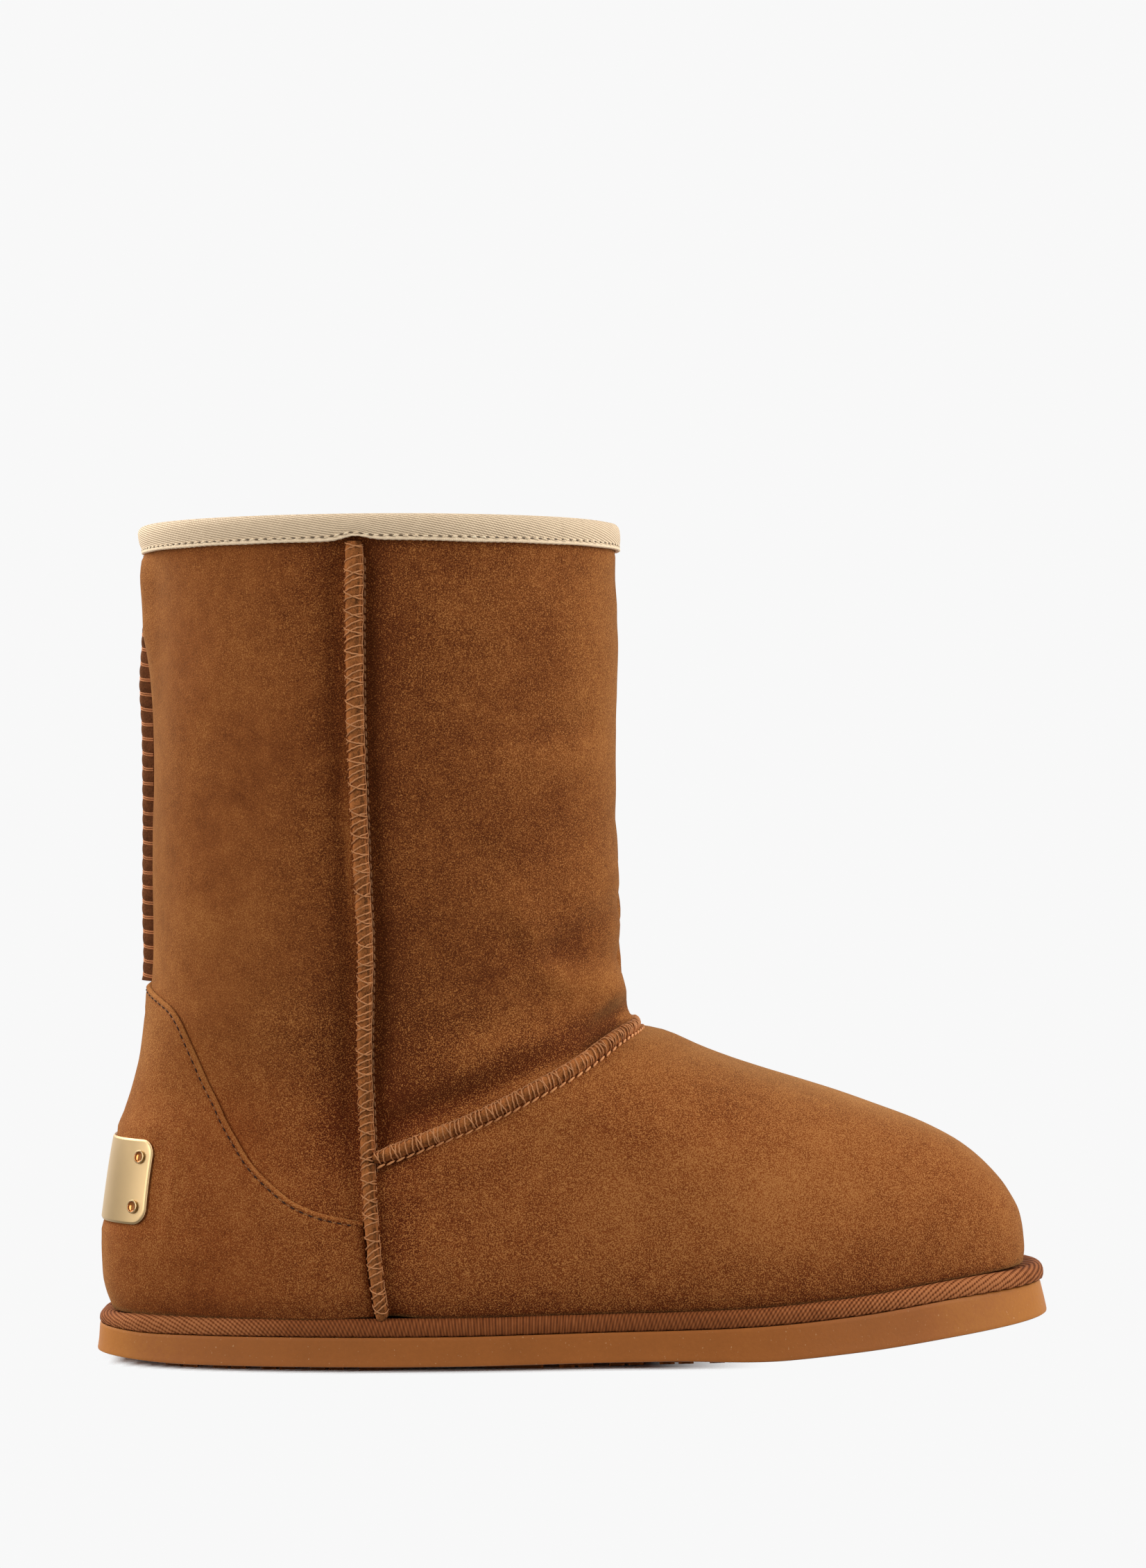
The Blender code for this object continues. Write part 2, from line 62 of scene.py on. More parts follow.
bl_info = {
    "name": "Suede ankle boot",
    "version": (1, 0, 0),
    "blender": (4, 5, 0),
    "location": "3D Viewport > Sidebar > Boot",
    "description": "Models a pull-on boot's suede, seams, tapes, sole and lining over its solids",
    "category": "Object",
}

MM = 0.001
PI = math.pi


def length(name, description, default):
    return bpy.props.FloatProperty(
        name=name, description=description, default=default, min=0.0, precision=5, unit="LENGTH"
    )


def colour(name, description, default):
    return bpy.props.FloatVectorProperty(
        name=name, description=description, default=default, min=0.0, max=1.0, size=3,
        subtype="COLOR",
    )


class BootSizes(bpy.types.PropertyGroup):
    """Sizes that a maker would change without changing the boot's form."""

    suede: length("Suede", "Thickness of the suede", 0.0017)
    counter: length("Counter", "Thickness of the heel counter", 0.0010)
    side_seam: length("Side seam", "Width of the raised side seams", 0.0049)
    vamp_seam: length("Vamp seam", "Width of the raised seam over the instep", 0.0042)
    back_seam: length("Back seam", "Width of the strip over the back seam", 0.0040)
    side_pitch: length("Side seam pitch", "Length of the side seams' stitches", 0.0023)
    vamp_pitch: length("Vamp seam pitch", "Length of the vamp seam's stitches", 0.0016)
    back_pitch: length("Back seam pitch", "Distance between the back's whip stitches", 0.0043)
    counter_pitch: length("Counter pitch", "Distance between the counter's stitches", 0.0027)
    collar_pitch: length("Collar pitch", "Distance between the collar tape's stitches", 0.0027)
    thread: length("Thread", "Thickness of the overlock thread", 0.00050)
    trough: length("Trough", "Depth that the side seams draw the suede in", 0.0028)
    pile: length("Pile", "How far the curls of the lining stand up", 0.0018)
    plate: length("Plate", "Thickness of the metal plate", 0.0008)
    rivet: length("Rivet", "Radius of the rivet heads", 0.00190)


class BootColours(bpy.types.PropertyGroup):
    """Colours of the boot's materials."""

    # Pressed and raised suede are also the ends that the tone's painted shade and painted light
    # reach.
    suede_deep: colour("Suede, pressed", "Suede with its nap pressed", (0.090, 0.0192, 0.0034))
    suede_mid: colour("Suede", "Suede on an even face", (0.262, 0.0765, 0.0166))
    suede_light: colour("Suede, raised", "Suede with the nap brushed up", (0.45, 0.180, 0.047))
    seam_suede: colour("Seam suede", "Cut suede in the raised seams", (0.37, 0.128, 0.036))
    strip: colour("Back strip", "Strip over the back seam", (0.17, 0.060, 0.023))
    seam_thread: colour("Seam thread", "Overlock thread", (0.58, 0.25, 0.095))
    whip_thread: colour("Whip thread", "Thread of the back's whip stitches", (0.62, 0.24, 0.09))
    needle_hole: colour("Needle hole", "Shadow in the needle holes", (0.035, 0.012, 0.006))
    cream: colour("Collar tape", "Raised yarns of the collar tape", (0.97, 0.750, 0.505))
    cream_deep: colour("Collar tape, sunk", "Gaps between its yarns", (0.57, 0.405, 0.255))
    brown: colour("Rand tape", "Raised yarns of the rand tape", (0.250, 0.072, 0.0190))
    brown_deep: colour("Rand tape, sunk", "Gaps between its yarns", (0.048, 0.012, 0.004))
    gum: colour("Gum", "Gum rubber of the sole", (0.382, 0.121, 0.0240))
    pile: colour("Pile", "Tips of the pile", (0.74, 0.60, 0.42))
    pile_deep: colour("Pile, deep", "Roots of the pile", (0.46, 0.33, 0.20))
    gold: colour("Gold", "Satin metal of the plate", (0.68, 0.478, 0.246))
    amber: colour("Amber", "Dished centres of the rivets", (0.60, 0.20, 0.03))
    floor: colour("Floor", "Floor and backdrop", (0.94, 0.94, 0.94))


# The boot's form, in millimetres. One row for each level: its height at the heel, its back and
# front ends, its half breadth over the heel, the waist and the ball of the foot, how square its
# heel and toe are (2 is an ellipse), how far its middle bows to the outer side, and how far its
# toe turns to the inner side.
SECTIONS = (
    (15.5, -131.1, 131.4, 41.5, 41.5, 50.0, 3.0, 2.3, 8.0, 6.0),
    (20.0, -132.8, 131.9, 43.2, 43.0, 51.6, 3.0, 2.3, 8.0, 6.0),
    (25.0, -133.9, 131.6, 44.2, 43.8, 52.0, 2.9, 2.3, 7.8, 5.8),
    (32.0, -134.1, 130.5, 44.6, 44.2, 51.8, 2.9, 2.3, 7.2, 5.3),
    (40.0, -133.0, 127.2, 44.6, 44.0, 50.8, 2.8, 2.3, 6.4, 4.6),
    (48.0, -131.9, 121.7, 44.4, 43.6, 49.4, 2.7, 2.3, 5.4, 3.8),
    (55.0, -130.8, 114.5, 44.0, 43.2, 47.8, 2.6, 2.3, 4.4, 3.1),
    (61.0, -129.8, 105.3, 43.6, 42.8, 46.3, 2.5, 2.3, 3.6, 2.5),
    (66.0, -128.7, 94.7, 43.3, 42.4, 45.0, 2.4, 2.3, 2.9, 2.0),
    (71.0, -127.2, 81.6, 43.0, 42.2, 43.6, 2.3, 2.3, 2.3, 1.5),
    (76.0, -125.6, 67.8, 42.9, 42.2, 42.4, 2.2, 2.25, 1.7, 1.1),
    (81.0, -124.3, 53.4, 42.9, 42.4, 41.8, 2.15, 2.2, 1.2, 0.7),
    (86.0, -123.1, 39.6, 43.1, 42.8, 42.0, 2.1, 2.1, 0.8, 0.4),
    (90.0, -122.4, 30.0, 43.4, 43.3, 42.6, 2.05, 2.05, 0.4, 0.2),
    (93.5, -121.8, 21.2, 43.8, 43.9, 43.4, 2.0, 2.0, 0.2, 0.1),
    (97.0, -121.2, 17.3, 44.2, 44.4, 44.3, 2.0, 2.0, 0.0, 0.0),
    (103.0, -120.1, 15.8, 44.8, 45.2, 45.1, 2.0, 2.0, 0.0, 0.0),
    (118.0, -118.7, 15.3, 46.2, 46.6, 46.2, 2.0, 2.0, 0.0, 0.0),
    (150.0, -118.6, 15.0, 48.2, 48.4, 48.2, 2.0, 2.0, 0.0, 0.0),
    (185.0, -118.3, 15.4, 49.6, 49.8, 49.6, 2.0, 2.0, 0.0, 0.0),
    (207.0, -117.8, 16.5, 50.4, 50.6, 50.4, 2.0, 2.0, 0.0, 0.0),
    (229.0, -118.3, 15.2, 51.0, 51.0, 51.0, 2.0, 2.0, 0.0, 0.0),
    (238.0, -120.0, 14.9, 51.4, 51.4, 51.4, 2.0, 2.0, 0.0, 0.0),
)
SOLE_PLAN = (0.0, -137.9, 138.1, 44.6, 44.2, 53.0, 3.0, 2.3, 8.0, 6.0)
SPRING = (  # station, rise of the underside, rise of the top
    (-30.0, 0.0, 0.0),
    (40.0, 0.9, 1.2),
    (80.0, 2.6, 3.2),
    (110.0, 4.9, 6.0),
    (138.0, 7.0, 7.3),
)
TREAD, GUM, RAND = 2.3, 8.1, 4.8
SOLE_TOP = TREAD + GUM + RAND
BOTTOM, FOOT_TOP, COLLAR = 15.5, 97.0, 238.0
COLLAR_DROP, DROP_START = 1.3, 150.0
WALL, TAPE_REACH, TAPE_STITCHING = 6.0, 7.2, 4.9

# Courses over the outer side: distance along the foot and height above the floor.
SIDE_SEAM = (
    (-56.7, 229.2), (-57.2, 205.0), (-57.3, 185.0), (-56.9, 160.0), (-56.3, 138.0), (-55.8, 118.0),
    (-56.4, 100.0), (-56.8, 85.0), (-56.4, 66.0), (-55.6, 45.0), (-54.6, 30.0), (-52.9, 15.9),
)
VAMP_SEAM = (
    (-54.6, 59.8), (-46.9, 62.4), (-37.0, 66.1), (-27.0, 69.9), (-8.0, 78.9), (3.5, 84.8),
    (13.0, 90.8),
)
VAMP_CREST = 94.2
COUNTER_EDGE = (
    (-119.0, 107.2), (-112.8, 102.5), (-108.5, 97.5), (-104.5, 88.5), (-100.5, 79.5),
    (-96.5, 71.5), (-92.5, 64.5), (-88.5, 58.5), (-82.5, 52.5), (-76.5, 48.0), (-68.5, 44.8),
    (-57.4, 42.6),
)
COUNTER_TOP = 108.5
COUNTER_GAP, COUNTER_STITCHING = 0.42, 1.6
PLATE_LENGTH, PLATE_HEIGHT, PLATE_CORNER, PLATE_MIDDLE, PLATE_LIFT = 64.0, 23.5, 4.6, 52.2, 1.80
RIVET_INSET = (4.4, 4.9)
PAD_INSET = 9.5
WAIST_BACK, WAIST_FRONT, WAIST_RISE = -62.0, -6.0, 0.7
GROOVE_PITCH, GROOVE_WIDTH, GROOVE_FIRST, GROOVE_LAST, GROOVE_SKIN = 14.0, 4.5, -118.0, 122.0, 0.2
SIPE_WIDTH, SIPE_DEPTH = 1.1, 0.55
RAND_DASH = 5.2  # length of one dash of painted shadow along the rand's lower edge, and of one wave of that edge


def smooth_table(rows):
    """A function that runs smoothly through rows, led by their first column, without overshoot."""
    data = np.array(rows, dtype=float)
    knots = data[:, 0]
    width = np.diff(knots)[:, None]
    slope = np.diff(data, axis=0) / width
    before, after = slope[:-1], slope[1:]
    total = np.where(before + after == 0, 1, before + after)
    inner = np.where(before * after > 0, 2 * before * after / total, 0)
    tangent = np.vstack([slope[:1], inner, slope[-1:]])

    def at(value):
        value = np.asarray(value, dtype=float)
        i = np.clip(np.searchsorted(knots, value) - 1, 0, len(knots) - 2)
        w = width[i]
        t = (value - knots[i])[..., None] / w
        s = np.clip(t, 0, 1)
        run = data[i] * (1 + 2 * s) * (1 - s) ** 2 + data[i + 1] * s * s * (3 - 2 * s)
        run = run + w * (tangent[i] * s * (1 - s) ** 2 - tangent[i + 1] * s * s * (1 - s))
        return run + np.where(t > 1, tangent[i + 1], tangent[i]) * (t - s) * w

    return at


def smooth_curve(rows):
    """The same for one number at each place."""
    table = smooth_table(rows)
    return lambda value: table(value)[..., 1]


section_at = smooth_table(SECTIONS)
spring_at = smooth_table(SPRING)
seam_below = smooth_curve([(-height, along) for along, height in SIDE_SEAM])


def seam_at(height):
    """Where the side seams stand along the foot, at a height."""
    return seam_below(-height)


def spring(x):
    """How far the sole's edge and its top rise at a distance along the foot."""
    rise = np.where(np.asarray(x)[..., None] <= SPRING[0][0], 0.0, spring_at(x))
    return rise[..., 1], rise[..., 2]


def smooth(value, low, high):
    """0 below low, 1 above high, and an even S between them."""
    t = np.clip((value - low) / (high - low), 0, 1)
    return t * t * (3 - 2 * t)


def near(distance, width):
    """1 at no distance, falling away softly over a width."""
    return np.exp(-((distance / width) ** 2))


def unit(vectors):
    return vectors / np.maximum(np.linalg.norm(vectors, axis=-1, keepdims=True), 1e-12)


def running(points):
    """The distance run at each of a line's points."""
    return np.concatenate([[0], np.cumsum(np.linalg.norm(np.diff(points, axis=0), axis=-1))])


def plan(section, angle):
    """Points of a level's outline, from angle 0 at the toe: plus inner side, minus outer side."""
    _, back, front, heel, waist, ball, heel_square, toe_square, bow, toe_in = (
        np.moveaxis(section, -1, 0)
    )
    c, s = np.cos(angle), np.sin(angle)
    square = np.where(c >= 0, toe_square, heel_square)
    along = np.sign(c) * np.abs(c) ** (2 / square)
    t = np.minimum(1.0, np.abs(along) * 2)
    breadth = waist + (np.where(along > 0, ball, heel) - waist) * t * t * (3 - 2 * t)
    middle = toe_in * (1 + along) / 2 - bow * (1 - along * along) ** 2
    x = (back + front) / 2 + (front - back) / 2 * along
    return x, middle + np.sign(s) * breadth * np.abs(s) ** (2 / square)


def ring_height(level, section, x):
    """The height at x of the level that is at this height at the heel."""
    left = np.clip((FOOT_TOP - level) / (FOOT_TOP - BOTTOM), 0, 1)
    drop = COLLAR_DROP * smooth(level, DROP_START, COLLAR)
    share = (x - section[..., 1]) / (section[..., 2] - section[..., 1])
    return level + spring(x)[1] * left * left - drop * share


def form(angle, level):
    """Points of the boot's outer form."""
    angle, level = np.broadcast_arrays(np.asarray(angle, float), np.asarray(level, float))
    section = section_at(level)
    x, y = plan(section, angle)
    return np.stack([x, y, ring_height(level, section, x)], -1)


def form_normal(angle, level):
    angle, level = np.broadcast_arrays(np.asarray(angle, float), np.asarray(level, float))
    low, high = np.maximum(BOTTOM, level - 0.4), np.minimum(COLLAR, level + 0.4)
    around = form(angle + 0.01, level) - form(angle - 0.01, level)
    return unit(np.cross(around, form(angle, high) - form(angle, low)))


def on_form(angle, level, out=0.0):
    """Points of the outer form, or this far outside it."""
    return form(angle, level) + form_normal(angle, level) * np.asarray(out)[..., None]


def beside_form(angle, level, out):
    """Points level with the form's own, this far outside it measured flat."""
    normal = form_normal(angle, level) * (1, 1, 0)
    return form(angle, level) + unit(normal) * np.asarray(out)[..., None]


def locate(along, height, side=-1):
    """The form's angle and level at a place on the outer (-1) side or the inner one."""
    along, height = np.asarray(along, float), np.asarray(height, float)
    level = height.copy()
    for _ in range(30):
        level = level + height - ring_height(level, section_at(level), along)
    section = section_at(level)
    back, front = section[..., 1], section[..., 2]
    share = (2 * along - back - front) / (front - back)
    square = np.where(share >= 0, section[..., 7], section[..., 6])
    return side * np.arccos(np.sign(share) * np.minimum(1, np.abs(share)) ** (square / 2)), level


def side_line(side):
    """A side seam's angles and levels, from under the collar tape to the rand."""
    height = np.linspace(231.5, 15.6, 140)
    return locate(seam_at(height), height, side)


def vamp_line():
    """The vamp seam's angles and levels, over the instep from side seam to side seam."""
    crest = form(0.0, VAMP_CREST)[0]
    line = smooth_curve([*VAMP_SEAM, (crest, VAMP_CREST)])
    share = np.linspace(1, 0, 90)[:-1]
    along = crest - (crest - VAMP_SEAM[0][0]) * share**2
    angle, level = locate(along, line(along))
    return (
        np.concatenate([angle, [0.0], -angle[::-1]]),
        np.concatenate([level, [VAMP_CREST], level[::-1]]),
    )


def counter_line():
    """The counter's edge, from the heel's middle: turns from the middle, and levels."""
    angle, level = locate(*np.array(COUNTER_EDGE).T)
    turn = np.concatenate([[0.0], PI - np.abs(angle)])
    edge = smooth_curve(np.stack([turn, np.concatenate([[COUNTER_TOP], level])], 1))
    turns = np.linspace(0, turn[-1], 120)
    return turns, edge(turns)


SEAM_ANGLE, SEAM_LEVEL = side_line(1)
VAMP_ANGLE, VAMP_LEVEL = vamp_line()
COUNTER_TURN, COUNTER_LEVEL = counter_line()


def seam_angle(level):
    """Turn from the toe to the side seam at a level."""
    return np.interp(level, SEAM_LEVEL[::-1], SEAM_ANGLE[::-1])


def distance_to(points, line):
    """Distance from each point to a line through the given points."""
    best = np.full(len(points), np.inf)
    for start, end in zip(line[:-1], line[1:]):
        step = end - start
        share = np.clip(((points - start) @ step) / max(step @ step, 1e-9), 0, 1)
        best = np.minimum(best, ((points - start - share[:, None] * step) ** 2).sum(-1))
    return np.sqrt(best)


def ripple(points, size, seed):
    """Even noise from -1 to 1 that changes over a size in millimetres."""
    scaled = points / size + seed
    return np.array([noise.noise(Vector(p)) for p in scaled])


class Course:
    """A line drawn over the form, with the frame that the pieces laid along it follow."""

    def __init__(self, angle, level, lift=0.0):
        self.place = on_form(angle, level, np.broadcast_to(lift, np.shape(angle)))
        step = np.gradient(self.place, axis=0)
        self.tangent = unit(step)
        normal = form_normal(angle, level)
        self.normal = unit(normal - self.tangent * (normal * self.tangent).sum(-1, keepdims=True))
        self.across = np.cross(self.normal, self.tangent)
        self.run = running(self.place)
        self.length = self.run[-1]

    def of(self, rows, run):
        return np.stack([np.interp(run, self.run, rows[:, k]) for k in range(3)], -1)

    def at(self, run, across=0.0, up=0.0):
        """Points so far along the course, beside it and above it."""
        run = np.asarray(run, float)
        across, up = (np.broadcast_to(v, run.shape)[..., None] for v in (across, up))
        beside = self.of(self.place, run) + self.of(self.across, run) * across
        return beside + self.of(self.normal, run) * up

    def matrix(self, run, across, up, size, slant=0.0):
        """A frame for a stitch, in its half sizes: X along the course and Z away from the boot."""
        place = Vector(self.at(run, across, up) * MM)
        z = Vector(self.of(self.normal, run)).normalized()
        x = Vector(self.of(self.tangent, run)).normalized()
        y = z.cross(x).normalized()
        turned = Matrix((z.cross(x).cross(z).normalized(), y, z)).transposed().to_4x4()
        sized = Matrix.Diagonal((*(half * MM for half in size), 1))
        return Matrix.Translation(place) @ turned @ Matrix.Rotation(slant, 4, "Z") @ sized


def clear_selection():
    if bpy.context.object and bpy.context.object.mode != "OBJECT":
        bpy.ops.object.mode_set(mode="OBJECT")
    bpy.ops.object.select_all(action="DESELECT")


def work_on(piece):
    clear_selection()
    piece.select_set(True)
    bpy.context.view_layer.objects.active = piece


def choose(piece, test=None):
    """Goes into edit mode with all vertices selected, or those whose place passes a test."""
    work_on(piece)
    bpy.ops.object.mode_set(mode="EDIT")
    bpy.ops.mesh.select_mode(type="VERT")
    bpy.ops.mesh.select_all(action="SELECT" if test is None else "DESELECT")
    if test is not None:
        bpy.ops.object.mode_set(mode="OBJECT")
        chosen = test(places(piece) / MM)
        piece.data.vertices.foreach_set("select", chosen)
        bpy.ops.object.mode_set(mode="EDIT")


def leave():
    bpy.ops.object.mode_set(mode="OBJECT")


def choose_rims(piece):
    """Goes into edit mode with the open edges selected."""
    choose(piece, lambda p: np.zeros(len(p), bool))
    bpy.ops.mesh.select_non_manifold(extend=False)


def face_outwards(piece):
    choose(piece)
    bpy.ops.mesh.normals_make_consistent(inside=False)
    leave()


def places(piece):
    flat = np.empty(len(piece.data.vertices) * 3, np.float32)
    piece.data.vertices.foreach_get("co", flat)
    return flat.reshape(-1, 3).astype(float)


def put_places(piece, points):
    """Moves a piece's vertices to points in millimetres."""
    piece.data.vertices.foreach_set("co", (points * MM).astype(np.float32).ravel())


def apply(piece, kind, **settings):
    """Adds a modifier and applies it."""
    work_on(piece)
    modifier = piece.modifiers.new(kind.lower(), kind)
    for name, value in settings.items():
        setattr(modifier, name, value)
    bpy.ops.object.modifier_apply(modifier=modifier.name)
    return piece


def thicken(piece, thickness):
    """Gives a sheet its thickness in millimetres, away from its face."""
    return apply(piece, "SOLIDIFY", thickness=thickness * MM, offset=-1.0)


def named(piece, name):
    piece.name = piece.data.name = name
    return piece


def laid_grid(name, columns, rows, lay, closed=False, flip=False):
    """A grid primitive laid over a surface.

    lay takes each vertex's column and row, and gives its place in millimetres, its place on the
    cloth in millimetres or None, and its tone or None.
    """
    clear_selection()
    bpy.ops.mesh.primitive_grid_add(x_subdivisions=columns, y_subdivisions=rows, size=2)
    piece = named(bpy.context.object, name)
    mesh = piece.data
    share = (places(piece)[:, :2] + 1) / 2
    i, j = np.rint(share * (columns, rows)).astype(int).T
    points, cloth, tone = lay(i, j)
    put_places(piece, points)
    if cloth is not None:
        corner = np.empty(len(mesh.loops), np.int32)
        mesh.loops.foreach_get("vertex_index", corner)
        mesh.uv_layers[0].data.foreach_set("uv", cloth[corner].astype(np.float32).ravel())
    if tone is not None:
        values = mesh.attributes.new("tone", "FLOAT", "POINT").data
        values.foreach_set("value", tone.astype(np.float32))
    if flip or closed:
        choose(piece)
        if flip:
            bpy.ops.mesh.flip_normals()
        if closed:
            bpy.ops.mesh.remove_doubles(threshold=2e-6)
        leave()
    return piece


def close_ends(piece):
    """Fills every open edge loop and turns the faces outwards."""
    choose_rims(piece)
    bpy.ops.mesh.fill_holes(sides=0)
    bpy.ops.mesh.select_all(action="SELECT")
    bpy.ops.mesh.normals_make_consistent(inside=False)
    leave()
    return piece


def thread(name, paths, thickness):
    """Thread laid along paths in millimetres, as one mesh."""
    clear_selection()
    bpy.ops.curve.primitive_nurbs_path_add()
    curve = bpy.context.object.data
    curve.splines.clear()
    for path in paths:
        spline = curve.splines.new("POLY")
        spline.points.add(len(path) - 1)
        flat = np.concatenate([path * MM, np.ones((len(path), 1))], 1)
        spline.points.foreach_set("co", flat.astype(np.float32).ravel())
    curve.dimensions = "3D"
    curve.bevel_depth = thickness * MM / 2
    curve.bevel_resolution = 1
    curve.use_fill_caps = True
    work_on(bpy.context.object)
    bpy.ops.object.convert(target="MESH")
    return named(bpy.context.object, name)


def joined(pieces):
    clear_selection()
    for piece in pieces:
        piece.select_set(True)
    bpy.context.view_layer.objects.active = pieces[0]
    bpy.ops.object.join()
    return bpy.context.object


def repeat(name, model, matrices):
    """Copies a modelled piece to each place, each copy with its own mesh, and joins the copies."""
    copies = []
    for matrix in matrices:
        copy = model.copy()
        copy.data = model.data.copy()
        copy.data.transform(matrix)
        bpy.context.collection.objects.link(copy)
        copies.append(copy)
    bpy.data.objects.remove(model)
    return named(joined(copies), name)


def make_beads(name, matrices, slot, paint, segments=8, rings=6):
    """A row of sunken stitches, each a round bead pressed to its shape."""
    clear_selection()
    bpy.ops.mesh.primitive_uv_sphere_add(segments=segments, ring_count=rings, radius=1)
    return settle(repeat(name, bpy.context.object, matrices), slot, paint)


def make_holes(name, matrices, slot, paint):
    """A row of needle holes, each a plainer bead in a dark colour that paints the shadow in the
    hole.
    """
    return make_beads(name, matrices, slot, paint, 6, 5)


def shade(colour, *share):
    """A colour made darker or lighter, by one share or by one for each of its parts."""
    shares = share if len(share) > 1 else share * 3
    return [min(1.0, part * by) for part, by in zip(colour, shares)]


class Number:
    """A value that varies over a surface. Arithmetic on it adds Math nodes."""

    def __init__(self, paint, socket):
        self.paint, self.socket = paint, socket

    def do(self, operation, *others, clamp=False):
        node = self.paint.node("ShaderNodeMath", {"operation": operation, "use_clamp": clamp})
        for socket, value in zip(node.inputs, (self, *others)):
            self.paint.feed(socket, value)
        return Number(self.paint, node.outputs[0])

    def swapped(self, operation, other):
        node = self.paint.node("ShaderNodeMath", {"operation": operation})
        self.paint.feed(node.inputs[0], other)
        self.paint.feed(node.inputs[1], self)
        return Number(self.paint, node.outputs[0])

    def __add__(self, other):
        return self.do("ADD", other)

    def __sub__(self, other):
        return self.do("SUBTRACT", other)

    def __mul__(self, other):
        return self.do("MULTIPLY", other)

    def __truediv__(self, other):
        return self.do("DIVIDE", other)

    def __pow__(self, other):
        return self.do("POWER", other)

    __radd__ = __add__
    __rmul__ = __mul__

    def __rsub__(self, other):
        return self.swapped("SUBTRACT", other)

    def __rtruediv__(self, other):
        return self.swapped("DIVIDE", other)

    def clamped(self):
        return self.do("ADD", 0.0, clamp=True)

    def swing(self, reach):
        """The value as a change about its middle, half a reach each way."""
        return (self - 0.5) * reach

    def wave(self):
        """A sine of turns, from 0 to 1."""
        return (self * (2 * PI)).do("SINE") * 0.5 + 0.5

    def between(self, low, high):
        """0 below low, 1 above high, and an even S between them."""
        return self.paint.scaled(self, low, high, 0.0, 1.0)


class Nodes:
    """A node tree, with one method that adds any node."""

    def __init__(self, tree):
        self.tree = tree

    def feed(self, socket, value):
        if isinstance(value, Number):
            self.tree.links.new(value.socket, socket)
        elif isinstance(value, bpy.types.NodeSocket):
            self.tree.links.new(value, socket)
        elif hasattr(value, "__len__") and len(value) == 3 and len(socket.default_value) == 4:
            socket.default_value = (*value, 1)
        else:
            socket.default_value = value

    def node(self, kind, settings=None, inputs=None):
        node = self.tree.nodes.new(kind)
        for name, value in (settings or {}).items():
            setattr(node, name, value)
        for name, value in (inputs or {}).items():
            self.feed(node.inputs[name], value)
        return node

    def scaled(self, value, low, high, least, most):
        """A value carried smoothly from one range to another."""
        inputs = {
            "Value": value, "From Min": low, "From Max": high, "To Min": least, "To Max": most,
        }
        node = self.node("ShaderNodeMapRange", {"interpolation_type": "SMOOTHSTEP"}, inputs)
        return Number(self, node.outputs[0])

    def parts(self, vector):
        """A vector's three numbers."""
        outputs = self.node("ShaderNodeSeparateXYZ", None, {0: vector}).outputs
        return [Number(self, output) for output in outputs]


class Paint(Nodes):
    """A material of the boot."""

    def __init__(self, name, **values):
        self.material = bpy.data.materials.new(name)
        self.material.use_nodes = True
        super().__init__(self.material.node_tree)
        self.surface = self.tree.nodes["Principled BSDF"]
        for socket, value in values.items():
            self.feed(self.surface.inputs[socket.replace("_", " ")], value)
        self.where = None

    def place(self):
        """The place on the piece, in millimetres."""
        if self.where is None:
            source = self.node("ShaderNodeTexCoord").outputs["Object"]
            inputs = {0: source, "Scale": 1 / MM}
            scaled = self.node("ShaderNodeVectorMath", {"operation": "SCALE"}, inputs)
            self.where = scaled.outputs[0]
        return self.where

    def stretched(self, scale):
        """The place on the piece, in units of a size for each axis."""
        inputs = {"Vector": self.place(), "Scale": scale}
        return self.node("ShaderNodeMapping", None, inputs).outputs[0]

    def cloth(self):
        """The place on the cloth, in millimetres along it and across it."""
        return self.parts(self.node("ShaderNodeUVMap", {"uv_map": "UVMap"}).outputs[0])[:2]

    def tone(self):
        node = self.node("ShaderNodeAttribute", {"attribute_name": "tone"})
        return Number(self, node.outputs["Fac"])

    def noise(self, size, detail=2.0, roughness=0.5, distortion=0.0, vector=None):
        inputs = {
            "Vector": vector or self.place(),
            "Scale": 1 / size,
            "Detail": detail,
            "Roughness": roughness,
            "Distortion": distortion,
        }
        return Number(self, self.node("ShaderNodeTexNoise", None, inputs).outputs["Fac"])

    def ramp(self, value, *stops):
        """A colour read from stops of place and colour."""
        node = self.node("ShaderNodeValToRGB", None, {0: value})
        elements = node.color_ramp.elements
        while len(elements) < len(stops):
            elements.new(1.0)
        for element, (place, shade) in zip(elements, stops):
            element.position = place
            element.color = (*shade, 1)
        return node.outputs[0]

    def mix(self, factor, first, second):
        node = self.node("ShaderNodeMix", {"data_type": "RGBA"}, {0: factor, 6: first, 7: second})
        return node.outputs[2]

    def bump(self, height, depth):
        """Relief so many millimetres deep."""
        node = self.node("ShaderNodeBump", None, {"Height": height, "Distance": depth * MM})
        self.feed(self.surface.inputs["Normal"], node.outputs[0])

    def colour(self, value):
        self.feed(self.surface.inputs["Base Color"], value)


